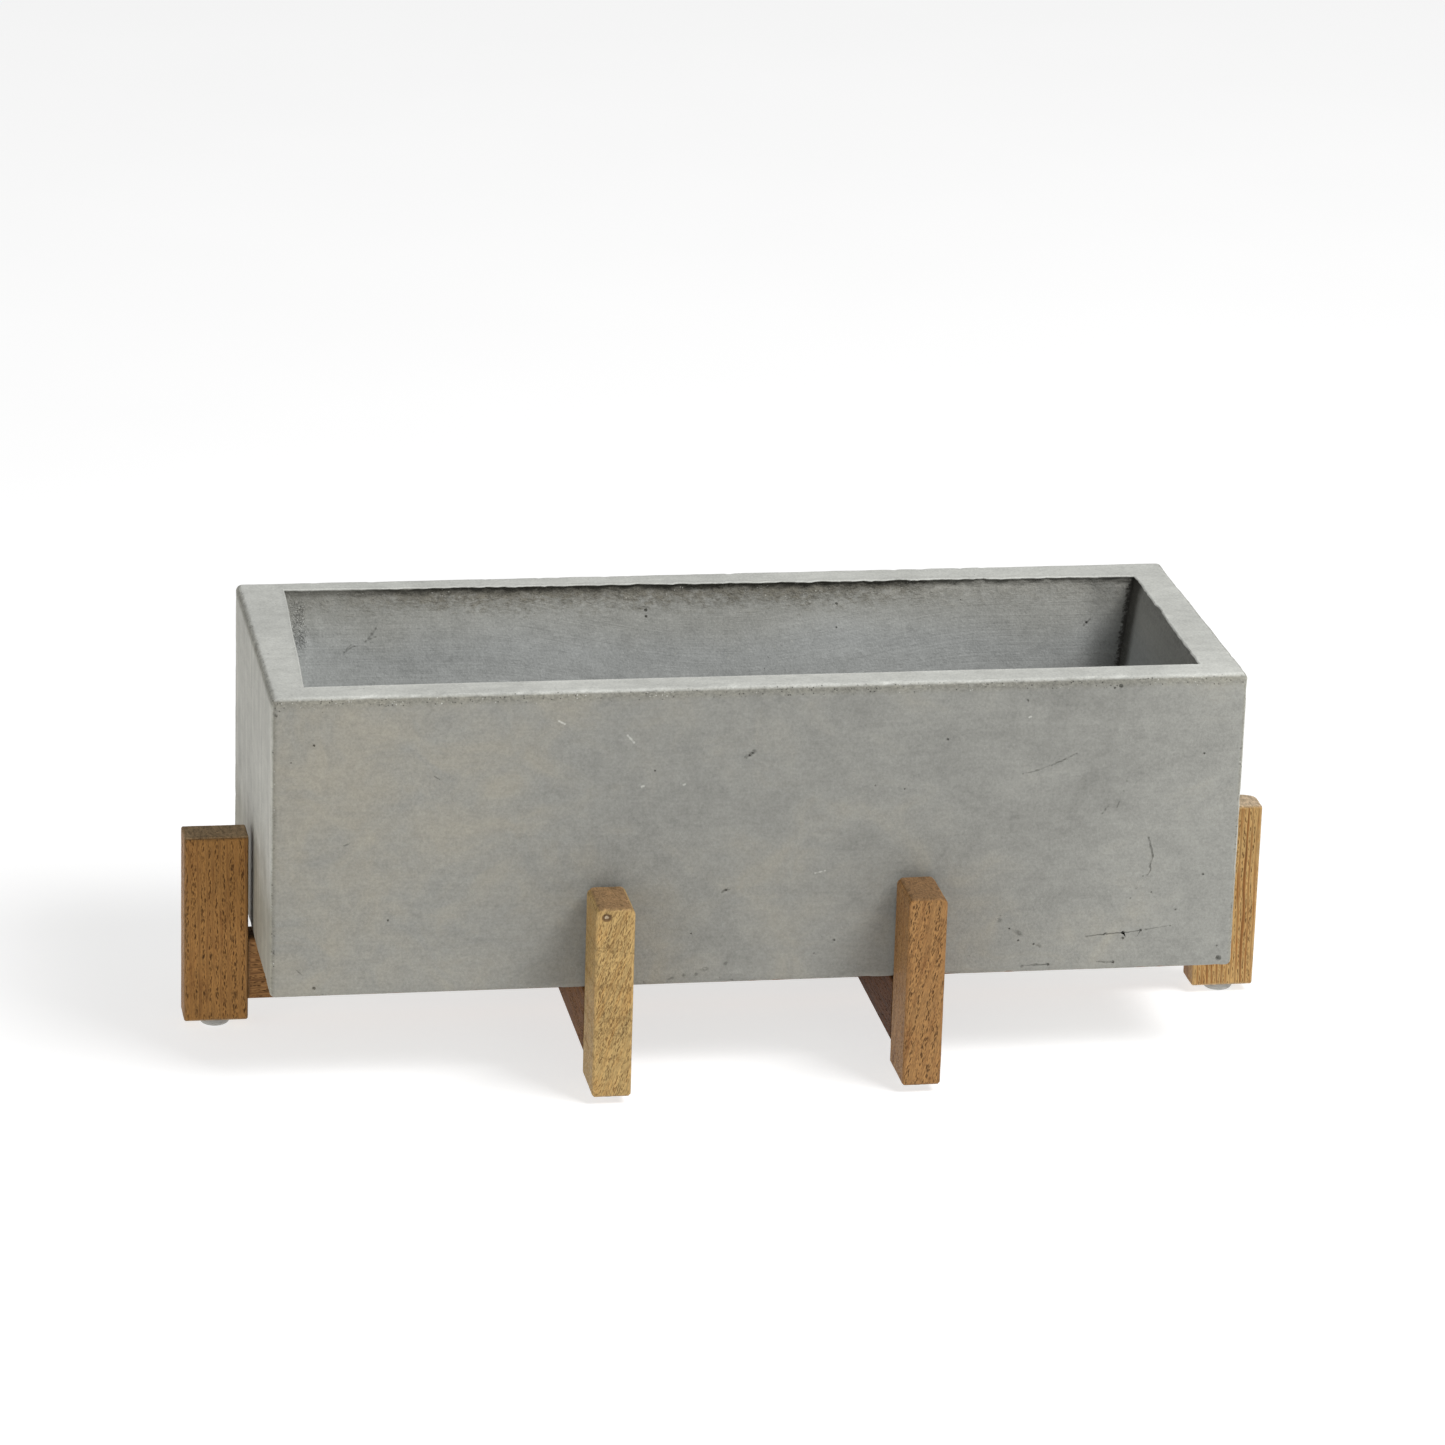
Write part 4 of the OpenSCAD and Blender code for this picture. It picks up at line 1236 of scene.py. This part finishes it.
def layFloor():
    half = studio["floorSize"] / 2 / mm
    corners = [(-half, -half, 0), (half, -half, 0), (half, half, 0), (-half, half, 0)]
    floor = meshObject("studioFloor", corners, [(0, 1, 2, 3)])
    material, wire = newMaterial("paleFloor")
    here = objectSpot(wire)
    shade = here.cloud(300.0, 2.0, 0.5)
    colour = shade.rise(-0.5, 0.5).mix(studio["floor"], studio["floorPale"])
    glow = {"Emission_Color": (1, 1, 1, 1), "Emission_Strength": studio["floorGlow"]}
    finishMaterial(wire, colour, 0.9 + shade * 0.1, here.cloud(2.0) * 0.01, **glow)
    floor.data.materials.append(material)


def areaLight(name, place, power, size):
    lamp = bpy.data.lights.new(name, "AREA")
    lamp.energy = power
    lamp.shape = "SQUARE"
    lamp.size = size
    holder = bpy.data.objects.new(name, lamp)
    bpy.context.scene.collection.objects.link(holder)
    aim = Vector(studio["aim"]) - Vector(place)
    holder.location = place
    holder.rotation_euler = aim.to_track_quat("-Z", "Y").to_euler()


def setCamera():
    turn, rise, roll = (math.radians(view[name]) for name in ("turn", "rise", "roll"))
    ahead = Vector((math.sin(turn) * math.cos(rise), math.cos(turn) * math.cos(rise), -math.sin(rise)))
    right = ahead.cross(Vector((0, 0, 1))).normalized()
    up = right.cross(ahead)
    side = right * math.cos(roll) + up * math.sin(roll)
    top = up * math.cos(roll) - right * math.sin(roll)
    lens = bpy.data.cameras.new("viewCamera")
    lens.lens = view["lens"]
    lens.sensor_width = view["sensor"]
    lens.clip_end = view["farthest"]
    camera = bpy.data.objects.new("viewCamera", lens)
    bpy.context.scene.collection.objects.link(camera)
    place = Matrix.Translation(Vector(view["target"]) - ahead * view["away"])
    camera.matrix_world = place @ Matrix((side, top, -ahead)).transposed().to_4x4()
    bpy.context.scene.camera = camera


layFloor()
areaLight("keyLight", studio["keyAt"], studio["keyPower"], studio["keySize"])
areaLight("fillLight", studio["fillAt"], studio["fillPower"], studio["fillSize"])
world = bpy.data.worlds.new("studioWhite")
world.use_nodes = True
white = world.node_tree.nodes["Background"]
white.inputs["Color"].default_value = (1, 1, 1, 1)
white.inputs["Strength"].default_value = studio["world"]
bpy.context.scene.world = world
bpy.context.scene.view_settings.view_transform = "Standard"
setCamera()
print("studio lit")
